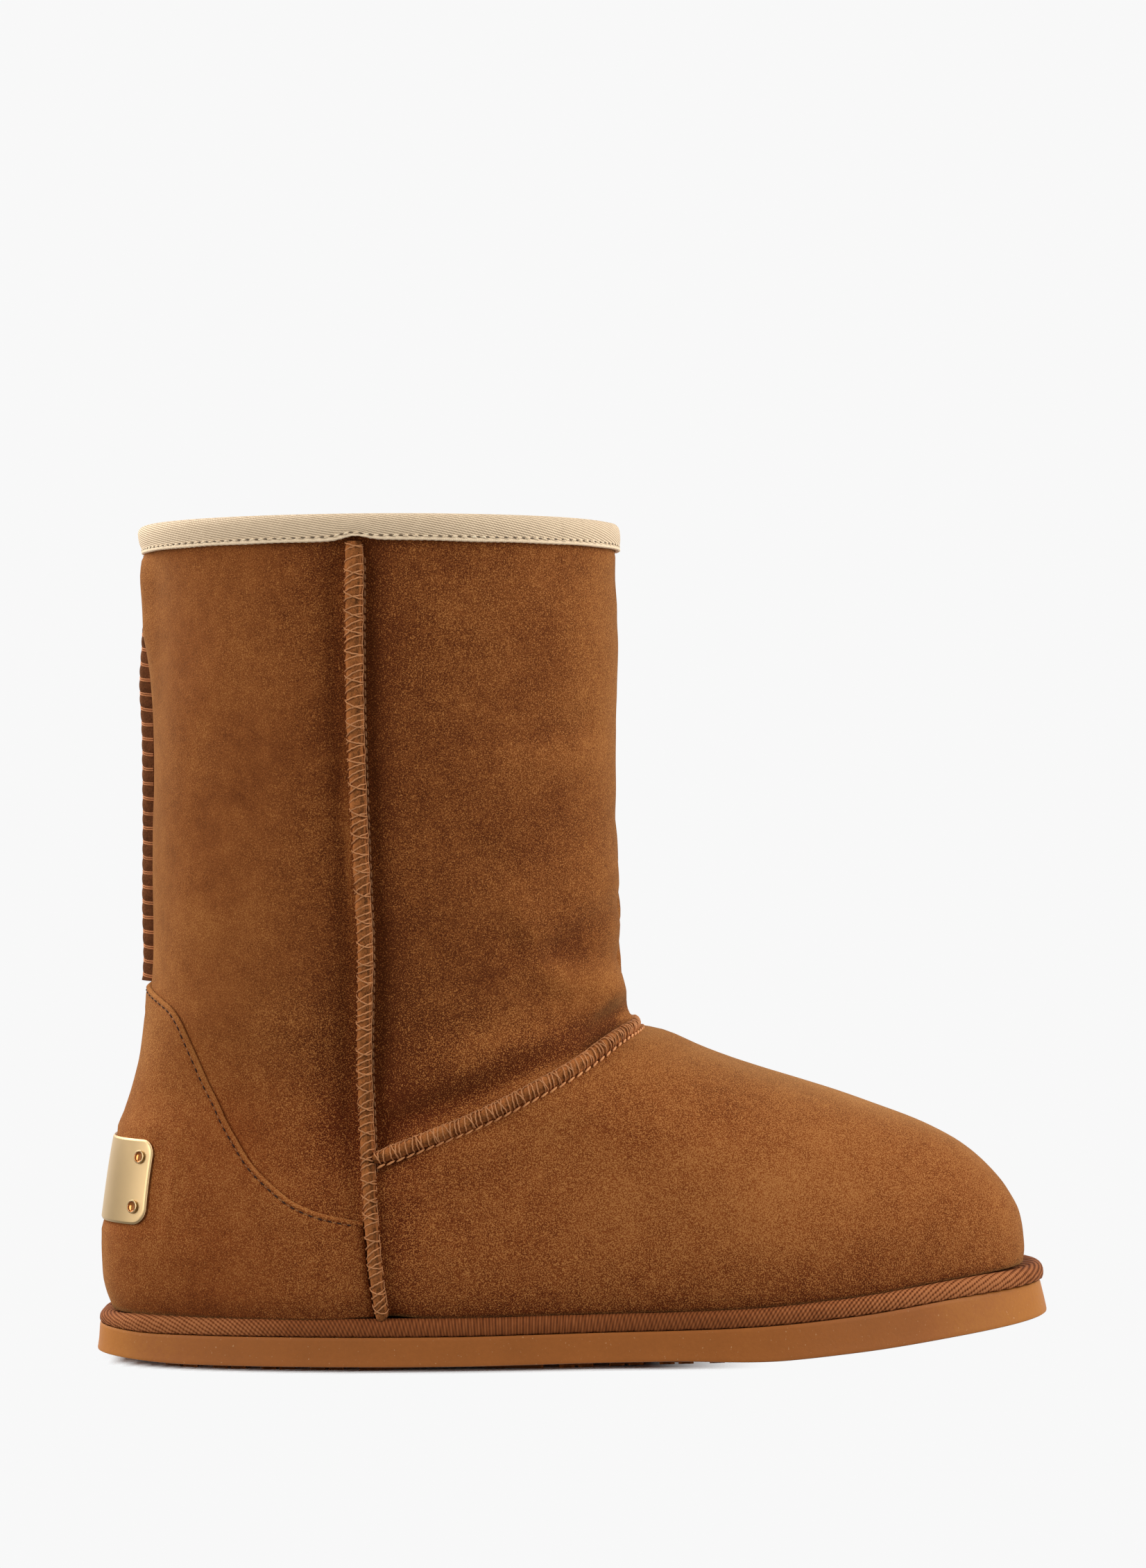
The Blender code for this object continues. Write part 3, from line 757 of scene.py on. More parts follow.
def suede_paint(name, deep, mid, light):
    """Brushed suede: soft patches of nap laid one way or the other, over a fine curled nap, with
    the tone attribute's painted shade and painted light laid on.
    """
    paint = Paint(
        name, Roughness=0.92, Sheen_Weight=0.42, Sheen_Roughness=0.42,
        Sheen_Tint=(1.0, 0.58, 0.20), Specular_IOR_Level=0.12,
    )
    broad = paint.noise(38, detail=2)
    cloud = paint.noise(15.0, detail=1)
    patch = paint.noise(6.0, detail=1.5)
    mottle = paint.noise(3.0, detail=1)
    curl = paint.noise(0.95, detail=2.0, roughness=0.6, distortion=1.2)
    grain = paint.noise(0.30, detail=0.0, distortion=0.6)
    along, _, height = paint.parts(paint.place())
    brushed = 0.50 + along.between(-100.0, -55.0) * 0.45 + broad.swing(0.8)
    brushed = brushed * (1.06 - height.between(85.0, 112.0) * 0.33)
    # The tone brings relief()'s painted shade and painted light into the nap value.
    nap = 0.5 + paint.tone() * 0.42 + broad.swing(0.30) + patch.swing(0.26)
    nap = nap + mottle.swing(0.16) + cloud.swing(0.30)
    fleck = grain.swing(2.8) * brushed
    nap = nap + curl.swing(0.06) * brushed + fleck + fleck * fleck * 0.9 - 0.045
    nap = nap.clamped()

    def dyed_with_painted_shade(*shades):
        return paint.ramp(nap, *zip((0.0, 0.5, 1.0), shades))

    # The foot is a little redder than the shaft.
    foot = dyed_with_painted_shade(shade(deep, 1.04, 0.80, 0.68), shade(mid, 1.02, 0.885, 0.79),
                shade(light, 1.0, 0.99, 1.04))
    paint.colour(paint.mix(height.between(60.0, 110.0), foot, dyed_with_painted_shade(deep, mid, light)))
    paint.bump(curl * 0.6 + grain * 0.4, 0.22)
    return paint.material


def cut_suede_paint(name, base, deep):
    """The cut edges of suede, fibrous along and across the seam, with the tone attribute's painted
    shade and painted light.
    """
    paint = Paint(
        name, Roughness=0.95, Sheen_Weight=0.08, Sheen_Roughness=0.4,
        Sheen_Tint=(1.0, 0.66, 0.32), Specular_IOR_Level=0.08,
    )
    patch = paint.noise(3.0, detail=3, roughness=0.6)
    fibre = paint.noise(0.5, detail=3, roughness=0.7, distortion=0.8)
    # The tone brings the ridge's painted shade and painted light; the deep and lightened colours
    # are its shaded and lit copies.
    value = 0.45 + paint.tone() * 0.5 + patch.swing(0.7) + fibre.swing(1.4)
    paint.colour(paint.ramp(value.clamped(), (0.0, deep), (0.5, base), (1.0, shade(base, 1.7))))
    paint.bump(fibre * 0.6 + patch * 0.4, 0.5)
    return paint.material


def thread_paint(name, base):
    """Spun thread: a fine broken sheen along each stitch."""
    paint = Paint(name, Roughness=0.6, Specular_IOR_Level=0.25)
    strand = paint.noise(0.198, detail=2, distortion=0.6)
    wear = paint.noise(5.0, detail=2)
    deep, light = shade(base, 0.45), shade(base, 1.5)
    paint.colour(paint.ramp(strand * 0.6 + wear * 0.4, (0.25, deep), (0.5, base), (0.8, light)))
    paint.bump(strand, 0.12)
    return paint.material


def collar_twill_paint(name, yarn, gap):
    """Twill tape: slanted rows of short floats, with a plain selvage along its lower edge."""
    paint = Paint(name, Roughness=0.78, Specular_IOR_Level=0.25)
    along, across = paint.cloth()
    row = (across + along * 0.22) / 0.70
    knot = (along + row * 0.5).wave() ** 0.6
    height = row.wave() ** 0.7 * (0.45 + knot * 0.55)
    plain = ((along / 0.55).wave() * 0.5 + (across / 0.5).wave() * 0.5) * 0.5 + 0.62
    edge = 1 - across.between(1.9, 2.3)
    height = height * (1 - edge) + plain * edge
    dirt = paint.noise(2.2, detail=3, roughness=0.6)
    value = height * 1.2 + dirt.swing(0.45) - 0.05
    light = shade(yarn, 1 / max(yarn))
    paint.colour(paint.ramp(value.clamped(), (0.05, gap), (0.55, yarn), (1.0, light)))
    paint.bump(height, 0.22)
    return paint.material


def rand_twill_paint(name, yarn, gap):
    """Twill tape whose rows turn round the sole, painted lighter towards its ends as painted light,
    with painted shadow in dashes along its lower edge.
    """
    paint = Paint(name, Roughness=0.78, Specular_IOR_Level=0.1)
    along, across = paint.cloth()
    row = paint.tone()
    knot = (along / 0.9 + row * 0.5).wave() ** 0.6
    height = row.wave() ** 0.7 * 0.66 + knot * 0.34
    dirt = paint.noise(2.2, detail=3, roughness=0.6)
    value = height * 0.85 + dirt.swing(0.45) + 0.08
    # Towards the toe and the heel the weave is painted stronger and lighter, as painted light, with
    # the very tips a little darker again.
    reach = paint.parts(paint.place())[0]
    strong = reach.between(20.0, 95.0) + reach.between(-50.0, -120.0) * 0.25
    value = value.swing(0.62 + strong * 0.5) + 0.43 + strong * 0.08
    # A band of painted shadow along the lower edge, broken into dashes.
    clear_of_edge_shadow = (across + (along / RAND_DASH).wave() * 0.7).between(6.5, 7.1)
    value = value * (1.0 + (reach.between(70.0, 117.0) + reach.between(-70.0, -105.0)) * 0.55)
    tips = reach.between(119.0, 134.0) * 0.35 + reach.between(-126.0, -137.0) * 0.3
    value = value * (1.0 - tips) * (0.40 + clear_of_edge_shadow * 0.60)
    light = shade(yarn, 1.85, 2.35, 3.2)
    paint.colour(paint.ramp(value.clamped(), (0.05, gap), (0.55, yarn), (1.0, light)))
    paint.bump(height, 0.22)
    return paint.material


def gum_paint(name, base):
    """Gum rubber with a dull moulded skin, light specks and faint flow marks; the tone attribute
    adds painted shade under the tread and painted light towards the toe and heel.
    """
    paint = Paint(name, Specular_IOR_Level=0.22)
    cloud = paint.noise(22, detail=3)
    speck = paint.noise(0.7, detail=1).between(0.70, 0.80)
    fine = paint.noise(1.1, detail=3, roughness=0.6)
    value = 0.42 + cloud.swing(0.6) + fine.swing(0.35) + paint.tone() * 0.45
    body = paint.ramp(
        value.clamped(), (0.0, shade(base, 0.45)), (0.12, shade(base, 0.80)), (0.5, base),
        (0.9, shade(base, 1.25, 1.45, 1.3)),
    )
    paint.colour(paint.mix(speck * 0.35, body, (0.80, 0.50, 0.25)))
    paint.feed(paint.surface.inputs["Roughness"], 0.50 + fine * 0.18)
    paint.bump(fine, 0.06)
    return paint.material


def pile_paint(name, tip, root):
    """Curly sheepskin pile."""
    paint = Paint(
        name, Roughness=1.0, Sheen_Weight=0.5, Sheen_Roughness=0.5, Sheen_Tint=(1, 0.92, 0.8),
        Specular_IOR_Level=0.05,
    )
    curl = paint.noise(1.6, detail=3, roughness=0.65, distortion=1.8)
    lock = paint.noise(5.0, detail=2)
    value = 0.5 + paint.tone() * 0.5 + curl.swing(0.7) + lock.swing(0.3)
    paint.colour(paint.ramp(value.clamped(), (0.0, root), (0.6, tip), (1.0, shade(tip, 1.15))))
    paint.bump(curl, 0.7)
    return paint.material


def gold_paint(name, base, roughness):
    """Satin metal, drawn round the heel, with fine handling marks."""
    paint = Paint(name, Metallic=1.0)
    grain = paint.noise(0.5, detail=2, vector=paint.stretched((0.05, 0.05, 5.0)))
    mark = paint.noise(6.0, detail=2)
    paint.colour(paint.ramp(mark, (0.3, shade(base, 0.95)), (0.7, base)))
    rough = roughness - 0.02 + grain * 0.04 + mark.swing(0.03)
    paint.feed(paint.surface.inputs["Roughness"], rough)
    paint.bump(grain, 0.002)
    return paint.material


def plain_paint(name, base, roughness, **values):
    """A small plain finish with a little wear."""
    paint = Paint(name, Roughness=roughness, **values)
    wear = paint.noise(0.8, detail=2)
    paint.colour(paint.ramp(wear, (0.25, shade(base, 0.75)), (0.75, base)))
    return paint.material


def settle(piece, slot, material, *nodes, angle=None):
    """Gives a finished piece its material and its body, and hides the nodes that it stands for. The
    slot is not used.
    """
    piece.data.materials.clear()
    piece.data.materials.append(material)
    work_on(piece)
    if angle is None:
        bpy.ops.object.shade_smooth()
    else:
        bpy.ops.object.shade_smooth_by_angle(angle=math.radians(angle))
    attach(piece, "root")
    if nodes:
        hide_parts(*nodes)
    return piece


def softness(points, level):
    """The slow unevenness of soft suede, which dies away at the collar and the sole."""
    calm = smooth(level, 17, 34) * (1 - smooth(level, 222, 231))
    return calm * (0.62 * ripple(points, 34.0, 3.1) + 0.24 * ripple(points, 13.0, 9.7))


BACK_BULGE = smooth_curve([
    (90, 0.0), (108, 0.5), (150, 0.6), (165, 0.1), (185, 0.6), (197, 1.4), (204, 2.5), (210, 3.5),
    (224, 3.4), (230, 2.6), (233, 1.2), (238, 0.0),
])
FRONT_BULGE = smooth_curve([
    (86, 0.0), (92, 0.0), (97.5, 0.8), (102, 1.3), (107, 0.2), (112, -0.1), (118, 0.3), (126, 1.0),
    (146, 1.0), (156, 0.4), (166, 0.2), (180, 0.1), (190, 0.6), (200, 0.5), (208, 0.4), (216, 1.0),
    (230, 1.2), (238, 1.0),
])
# Soft folds over the front of the shaft: from one place to another along the foot and in height,
# how wide, and how far out, below 0 for a trough.
FOLDS = (
    (14.0, 128.0, -4.0, 115.5, 3.6, -1.2),
    (-14.0, 129.0, -3.0, 108.0, 4.6, 0.8),
    (15.0, 112.5, -14.0, 118.0, 3.4, -0.9),
    (12.0, 106.0, -2.0, 109.0, 4.2, 0.9),
    (6.0, 181.0, -12.0, 176.0, 3.6, -0.8),
    (5.0, 171.0, -6.0, 169.0, 4.6, 0.7),
    (16.0, 150.0, -22.0, 142.0, 8.0, -0.6),
    (-20.0, 98.0, -40.0, 88.0, 8.0, 0.5),
)
# Broad places where the suede is painted lighter or darker, as the nap's own patches with painted
# light and shade: along, up, how far each way, how much lighter.
PATCHES = (
    (-49.0, 172.0, 5.0, 60.0, -0.08), (-68.0, 172.0, 6.0, 60.0, 0.16),
    (-84.0, 84.0, 18.0, 24.0, 0.30), (-112.0, 96.0, 14.0, 26.0, 0.22),
    (-99.0, 127.0, 16.0, 18.0, 0.16), (12.0, 178.0, 7.0, 40.0, 0.18),
    (-126.0, 34.0, 12.0, 26.0, 0.20), (54.0, 78.0, 26.0, 9.0, -0.26),
    (37.0, 55.0, 20.0, 9.0, 0.15), (-42.0, 40.0, 16.0, 20.0, -0.22),
    (-31.0, 77.0, 14.0, 9.0, -0.20), (8.0, 118.0, 12.0, 12.0, -0.14),
    (10.0, 18.0, 60.0, 5.0, 0.14), (58.0, 51.0, 46.0, 16.0, 0.50),
)


def beside_segment(x, z, ax, az, bx, bz):
    """Distance from places to a straight line between two others."""
    dx, dz = bx - ax, bz - az
    share = np.clip(((x - ax) * dx + (z - az) * dz) / (dx * dx + dz * dz), 0, 1)
    return np.hypot(x - ax - share * dx, z - az - share * dz)


def relief(angle, level, sizes):
    """How far the suede stands off the form, and its tone: painted shade below 0, painted light
    above, over the nap's own broad patches.
    """
    points = form(angle, level)
    x, y, z = points.T
    ahead = x - seam_at(z)
    beyond = np.maximum(np.abs(ahead) - 2.2, 0)
    shaft, high = smooth(z, 50, 72), smooth(z, 95, 125)
    in_front = ahead > 0
    order = np.argsort(np.abs(VAMP_ANGLE))
    seam_level = np.interp(np.abs(angle), np.abs(VAMP_ANGLE)[order], VAMP_LEVEL[order])
    above, below = (level > seam_level) & in_front, (level <= seam_level) & in_front
    gap = distance_to(points, form(VAMP_ANGLE, VAMP_LEVEL))

    # Along the side seams the suede is drawn in, and swells a little way off.
    pull = near(beyond, np.where(in_front, 6.5, 8.5))
    out = -sizes.trough / MM * pull * (0.50 + 0.50 * shaft) * (1 - 0.45 * smooth(level, 222, 232))
    out = out + 0.5 * near(np.abs(ahead) - 21, 9) * shaft * (1 - smooth(level, 215, 230))
    # It is even under the plate.
    plate = near(np.maximum(0, x + 112), 6)
    plate = plate * near(np.maximum(0, np.abs(z - PLATE_MIDDLE) - 12), 4)
    out = out + softness(points, level) * (1 - 0.6 * pull) * (1 - plate)
    # Above the vamp seam runs a trough and then a roll, and below it the foot is drawn in.
    front = smooth(x, -45, 5)
    deep = np.interp(x, [-45.0, -10.0, 5.0], [6.8, 5.9, 4.4])
    aside = above * (1 - 0.9 * near(y, 9.0) * smooth(x, 2, 10))
    roll = (0.5 + 1.3 * front) * near(gap - deep - 9, 6.5)
    out = out + aside * (roll - 2.8 * near(gap - deep, 3.5))
    out = out + below * (-1.2 * near(gap, 3.2) + 0.4 * near(gap - 10, 6))
    # A short fold stands at each side of the seam's crest: a low lip, with painted shadow beside it
    # in place of a dip.
    fold = (x - 6.7) - 0.49 * (z - 92.9)
    height = near(np.maximum(0, np.abs(z - 94.4) - 4.4), 1.6) * above
    fold_shadow_mask = smooth(fold, -0.8, 1.3) * height * near(np.maximum(0, np.abs(y) - 26), 5)
    fold_shadow_mask = fold_shadow_mask * smooth(np.abs(y), 9, 16)
    out = out + 0.35 * near(fold + 2.2, 1.8) * height
    out = out + 0.7 * near(x - 7.5, 6) * near(z - 107, 4.5) * near(np.abs(y) - 20, 12) * above
    # The shaft folds and swells at its front, and bulges at its back beside the strip.
    folds = 0.0
    for ax, az, bx, bz, width, rise in FOLDS:
        side = np.where(y > 0, 7.0, 0.0)
        distance = beside_segment(x, z, ax, az + side, bx, bz + side)
        folds = folds + rise * near(distance, width) * in_front
    out = out + folds + FRONT_BULGE(np.clip(z, 86, 238)) * near(y, 24.0) * (x > 0)
    behind = (x < -90) & (z > 100)
    out = out + behind * (BACK_BULGE(z) * near(np.abs(y) - 5, 7.5) - 0.8 * near(y, 3.4))

    # Tone, as painted shade and painted light: painted shade beside the seams, in the trough, in
    # the dips by the crest, in the folds' troughs and along the rand; painted light on strips
    # beside the seams, on the roll and the folds' crests, up the foot and at the toe; then the
    # broad patches.
    seam_front = 0.78 * near(beyond, 8.5) + 0.30 * near(beyond, 24)
    tone = -np.where(in_front, seam_front, 0.66 * near(beyond, 15.0)) * (0.40 + 0.60 * shaft)
    tone = tone + 1.1 * near(ahead + 3.6, 1.0) * near(z - 146, 24)
    tone = tone - 0.35 * (1 - high) * shaft * near(ahead + 12, 26)
    tone = tone + above * (
        0.5 * near(gap - 3.2, 1.8) - 0.95 * near(gap - deep - 2.3, 3.6)
        + 0.4 * near(gap - deep - 12, 7) * front
        - 0.30 * (1 - high) * near(np.maximum(0, ahead), 34)
        - 0.14 * near(z - 105, 22) * smooth(ahead, 14, 40)
        - 0.20 * smooth(ahead, 6, 20) * shaft + 0.25 * near(x - 16, 9) * (1 - fold_shadow_mask)
    )
    tone = tone + below * (
        0.05 * smooth(z, 18, 40) + 0.22 * smooth(z, 66, 84) - 0.4 * near(gap, 2.2)
    )
    tone = tone - 1.4 * fold_shadow_mask + 0.30 * folds + 0.22 * smooth(x, 95, 128)
    tone = tone - 0.42 * near(level - BOTTOM, 9.0) - 0.5 * near(level - BOTTOM, 2.2)
    for px, pz, along, up, lighter in PATCHES:
        tone = tone + lighter * near(x - px, along) * near(z - pz, up)
    return np.maximum(out, -3.2) + 0.25 * np.minimum(0, out + 3.2), np.maximum(tone, -1.25)


def shell_columns():
    """Places round the boot: 0 at the front, 2 at the back, 1 and 3 at the side seams."""
    t, u = np.linspace(0, 1, 85), np.linspace(0, 1, 61)
    ahead = 1 - (1 - t) ** 1.25
    behind = 1 + u - 0.6 * np.sin(2 * PI * u) / (2 * PI)
    half = np.concatenate([ahead, behind[1:]])
    return np.concatenate([half, 4 - half[::-1][1:]])


def turn_at(place, level):
    """The angle at a place of the shell's columns, from 0 round to 4."""
    half = np.where(place <= 2, place, 4 - place)
    seam = seam_angle(level)
    turn = np.where(half <= 1, half * seam, seam + (half - 1) * (PI - seam))
    return np.where(place <= 2, -turn, turn)


def shell_rows():
    """The shell's levels, closest over the foot and at the collar."""
    return np.concatenate([
        np.linspace(BOTTOM, 30, 13)[:-1], np.linspace(30, 108, 60)[:-1],
        np.linspace(108, 228, 52)[:-1], np.linspace(228, COLLAR, 6),
    ])


def make_shell(sizes, paint):
    """The suede of vamp and shaft, drawn in at its seams."""
    columns, rows = shell_columns(), shell_rows()

    def lay(i, j):
        level = rows[j]
        angle = turn_at(columns[i], level)
        out, tone = relief(angle, level, sizes)
        under_tape = smooth(level, 231, 234.5)
        return on_form(angle, level, out * (1 - under_tape)), None, tone

    shell = laid_grid("suede_upper", len(columns) - 1, len(rows) - 1, lay, closed=True, flip=True)
    return settle(thicken(shell, sizes.suede / MM), "suede", paint, "upper")


def make_lining(sizes, paint):
    """The pile inside, from the collar tape down to the insole, fuller just below the tape."""
    count = 260
    rows = np.concatenate([np.linspace(236.5, 200, 34)[:-1], np.linspace(200, 16.8, 98)])
    height = sizes.pile / MM

    def lay(i, j):
        angle, level = 2 * PI * i / count, rows[j]
        points = form(angle, level)
        depth = np.interp(level, [150, 222, 229, 231.5, 240], [5.4, 6.2, 7.0, 5.4, 5.2])
        curl = 1.9 * np.abs(ripple(points, 4.2, 1.7)) + 0.9 * np.abs(ripple(points, 2.1, 5.2))
        curl = np.clip(curl - 0.2, -0.2, 1.3) * smooth(COLLAR - level, 6, 12)
        drawn = np.minimum(0, relief(angle, level, sizes)[0])
        return on_form(angle, level, drawn - depth - height * curl), None, curl - 0.5

    lining = laid_grid("pile_lining", count, len(rows) - 1, lay, closed=True)
    return settle(thicken(lining, 2.2), "pile", paint)


def make_insole(sizes, paint):
    """The pile footbed."""
    inset, rise, thickness = WALL - 1.6, 5.0, 4.5  # it reaches 1.6 mm into the wall's pile
    ring = beside_form(np.linspace(-PI, PI, 361), BOTTOM, np.full(361, -inset))
    inner, outer = ring[ring[:, 1] > -2.0], ring[ring[:, 1] <= -2.0]
    columns, rows = 120, 46
    height = sizes.pile / MM

    def lay(i, j):
        t = 0.5 - 0.5 * np.cos(PI * i / columns)
        x = ring[:, 0].min() + (ring[:, 0].max() - ring[:, 0].min()) * t
        sides = [
            np.interp(x, *part[np.argsort(part[:, 0])][:, :2].T) for part in (outer, inner)
        ]
        y = sides[0] + (sides[1] - sides[0]) * j / rows
        curl = 1 - np.abs(ripple(np.stack([x, y, np.zeros_like(x)], -1), 3.6, 2.9)) * 1.6
        z = BOTTOM + rise + spring(x)[1] + height * curl
        return np.stack([x, y, z], -1), None, curl - 0.5

    insole = laid_grid("pile_insole", columns, rows, lay, closed=True)
    return settle(thicken(insole, thickness), "pile", paint, "insole")


def counter_reach(level):
    """Turn from the heel's middle to the counter's front end, just behind the side seam."""
    height = np.linspace(12, 60, 40)
    angle, levels = locate(seam_at(height) - 2.2, height)
    return np.interp(level, levels, PI - np.abs(angle))


def make_counter(sizes, paint):
    """The heel counter, with a rolled cut edge and a groove for its stitching."""
    count = 190
    steps = np.array([0, 0.25, 0.55, 0.9, 1.3, 1.7, 2.2, 2.8, 3.6, 4.8, 6.5, 8.5])
    rest = np.linspace(0, 1, 44)[1:]
    low = BOTTOM + 0.3
    edge = [form(PI + side * COUNTER_TURN, COUNTER_LEVEL) for side in (1, -1)]
    edge = np.concatenate([edge[0][::-1], edge[1]])

    def lay(i, j):
        share = 2 * i / count - 1
        fast = steps[np.minimum(j, len(steps) - 1)]
        slow = np.where(j >= len(steps), rest[np.clip(j - len(steps), 0, len(rest) - 1)], 0)
        level = np.full(len(i), 40.0)
        for _ in range(25):
            turn = share * counter_reach(level)
            top = np.interp(np.abs(turn), COUNTER_TURN, COUNTER_LEVEL)
            level = top - fast - (top - fast - low) * slow
        angle = PI + turn
        out, tone = relief(angle, level, sizes)
        points = form(angle, level)
        x, y, z = points.T
        inside = distance_to(points, edge)
        groove = inside - COUNTER_STITCHING
        roll = 0.12 * near(inside - 0.9, 0.5) - 0.75 * near(inside, 0.5)
        roll = roll - 0.30 * near(groove, 0.45)
        # The suede stands up a little in a rim 3 mm outside the plate.
        past_end = np.maximum(0, np.abs(y) - 29.5) + np.maximum(0, x + 113)
        past = np.hypot(np.maximum(0, np.abs(z - PLATE_MIDDLE) - 11.4), past_end)
        press = 0.55 * near(past - 3.0, 2.4) * (x < -90)
        lift = out + COUNTER_GAP + sizes.counter / MM + roll + press
        # Tone: the suede's painted shade and light, softened and lifted, a light lip along the cut
        # edge, and painted shade in the stitching's groove.
        tone = np.maximum(tone, -0.6) * 0.8 + 0.10
        tone = tone + 0.62 * near(inside - 0.3, 0.5) - 0.35 * near(groove, 0.4)
        return on_form(angle, level, lift), None, tone

    counter = laid_grid("counter_suede", count, len(steps) + len(rest) - 1, lay, flip=True)
    return settle(thicken(counter, 1.9), "suede", paint, "heel_counter")


def make_counter_stitches(sizes, stitch_paint, hole_paint):
    """The stitching sunk just inside the counter's edge."""
    angle = PI + np.concatenate([-COUNTER_TURN[::-1], COUNTER_TURN[1:]])
    level = np.concatenate([COUNTER_LEVEL[::-1], COUNTER_LEVEL[1:]])
    sunk = COUNTER_GAP + sizes.counter / MM - 0.26
    course = Course(angle, level, relief(angle, level, sizes)[0] + sunk)
    pitch = sizes.counter_pitch / MM
    runs = np.arange(3.0, course.length - 3.0, pitch)
    upward = course.across[len(course.run) // 2][2] > 0
    inward = -COUNTER_STITCHING if upward else COUNTER_STITCHING
    stitches = [course.matrix(r, inward, 0.0, (0.50, 0.20, 0.18)) for r in runs]
    holes = [course.matrix(r + pitch / 2, inward, 0.10, (0.78, 0.22, 0.24)) for r in runs]
    make_beads("counter_stitches", stitches, "suede", stitch_paint)
    make_holes("counter_needle_holes", holes, "suede", hole_paint)


def ridge_shape(turn, width, foot, top):
    """A raised seam's section: turn 0 at its front foot, half a turn at its back foot."""
    c, s = np.cos(2 * PI * turn), np.sin(2 * PI * turn)
    across = width / 2 * np.sign(c) * np.abs(c) ** 0.8
    up = np.where(s >= 0, foot + (top - foot) * np.abs(s) ** 0.62, foot - 0.4 * np.abs(s))
    return across, up


class Ridge:
    """A raised seam over its course.

    front is 1 or -1, for the side of the course on which its front foot lies. Each station gives
    a share of its length, and the share of its width and the height of its top there.
    """

    def __init__(self, course, front, slant, width, foot, stations):
        self.course, self.front, self.slant, self.foot = course, front, slant, foot
        self.places, widths, self.tops = np.array(stations).T
        self.widths = width * widths

    def sizes(self, run):
        share = np.asarray(run) / self.course.length
        width, top = (np.interp(share, self.places, row) for row in (self.widths, self.tops))
        return width, self.foot + 0 * width, top

    def shape(self, turn, run, out=0.0):
        width, foot, top = self.sizes(run)
        return ridge_shape(turn, width + 2 * out, foot, top + out)

    def at(self, turn, run, out):
        across, up = self.shape(turn, run, out)
        return self.course.at(run, across * self.front, up)


def make_ridge(name, ridge, paint, node, pitch, pinch, line):
    """A raised seam of two cut edges, pinched by its stitches, with a crease along its top, and
    painted shade and painted highlights in its tone.
    """
    course = ridge.course
    count, rows = 22, int(course.length / 0.8)

    def lay(i, j):
        run = course.length * j / rows
        across, up = ridge.shape(i / count, run)
        flat = course.at(run)
        half = ridge.sizes(run)[0] / 2
        height = np.sin(2 * PI * i / count)
        crown = height > 0.1
        crease = line * near(across - half * 0.62, 0.36) * crown
        phase = (run + ridge.slant * across / half - 2.0) / pitch
        stitch = np.abs(np.sin(PI * phase)) ** 0.8
        swell = 1 + 0.18 * (ripple(flat, 2.6, 4.4) + 0.6 * ripple(flat, 6.5, 7.7))
        swell = swell - 0.16 * pinch * (1 - stitch) * crown
        up = up * np.where(crown, swell, 1) - 0.45 * crease
        points = course.at(run, across * ridge.front * swell, up)
        # Tone: painted shade towards the feet, in the crease, along the middle and at each pinch of
        # the stitches; a painted highlight along one lip; a lighter line at the other edge; random
        # patches.
        tone = 0.25 * (height - 0.5) - crease + 0.3 * ripple(points, 2.0, 8.3)
        tone = tone + 0.5 * near(across + half * 0.85, 0.8) - 0.25 * near(across, half * 0.5)
        return points, None, tone + 0.9 * pinch * (stitch - 0.62) + 0.25 * near(across - half, 0.5)

    made = close_ends(laid_grid(name, count, rows, lay, closed=True))
    return settle(made, "seam_suede", paint, node)


def wrap(ridge, pitch, slant, out):
    """Short threads wound over the ridge, each leaning the same way."""
    turn = np.linspace(0.03, 0.47, 13)
    paths = []
    for start in np.arange(2.0, ridge.course.length - 2.0, pitch):
        across, up = ridge.shape(turn, start, out)
        share = across / across.max()
        lean = slant * (1 + 0.3 * math.sin(2.3 * start)) * (0.75 * share - 0.25 * share**2)
        run = start + 0.22 * pitch * math.sin(5 * start) - lean + 0.08 * np.sin(9 * share + start)
        paths.append(ridge.course.at(run, across * ridge.front, up))
    return paths


def edge_thread(ridge, pitch):
    """The thread that runs on along the front foot of the ridge from stitch to stitch."""
    run = np.arange(1.5, ridge.course.length - 1.5, 0.6)
    turns = 2 * PI * run / pitch
    return ridge.at(0.035 + 0.012 * np.sin(turns / 2) + 0.01 * np.sin(turns / 5.3), run, 0.16)


def loop_thread(ridge, pitch):
    """The looper's thread along the back of the ridge, wavy between the stitches."""
    run = np.arange(1.5, ridge.course.length - 1.5, 0.55)
    turns = 2 * PI * run / pitch
    return ridge.at(0.40 + 0.035 * np.sin(turns) + 0.012 * np.sin(turns / 2.7), run, 0.14)


# Stations of the raised seams, from the collar down and from side seam to side seam.
SIDE_STATIONS = (
    (0.0, 0.88, 1.1), (0.025, 1.0, 2.0), (0.06, 1.0, 2.4), (0.3, 0.92, 2.4), (0.45, 0.82, 2.3),
    (1.0, 0.74, 1.9),
)
VAMP_STATIONS = (
    (0.0, 0.7, 1.4), (0.03, 0.96, 2.2), (0.34, 0.96, 2.0), (0.44, 0.78, 1.5), (0.48, 0.70, 0.9),
    (0.5, 0.58, 0.1), (0.52, 0.70, 0.9), (0.56, 0.78, 1.5), (0.66, 0.96, 2.0), (0.97, 0.96, 2.2),
    (1.0, 0.7, 1.4),
)


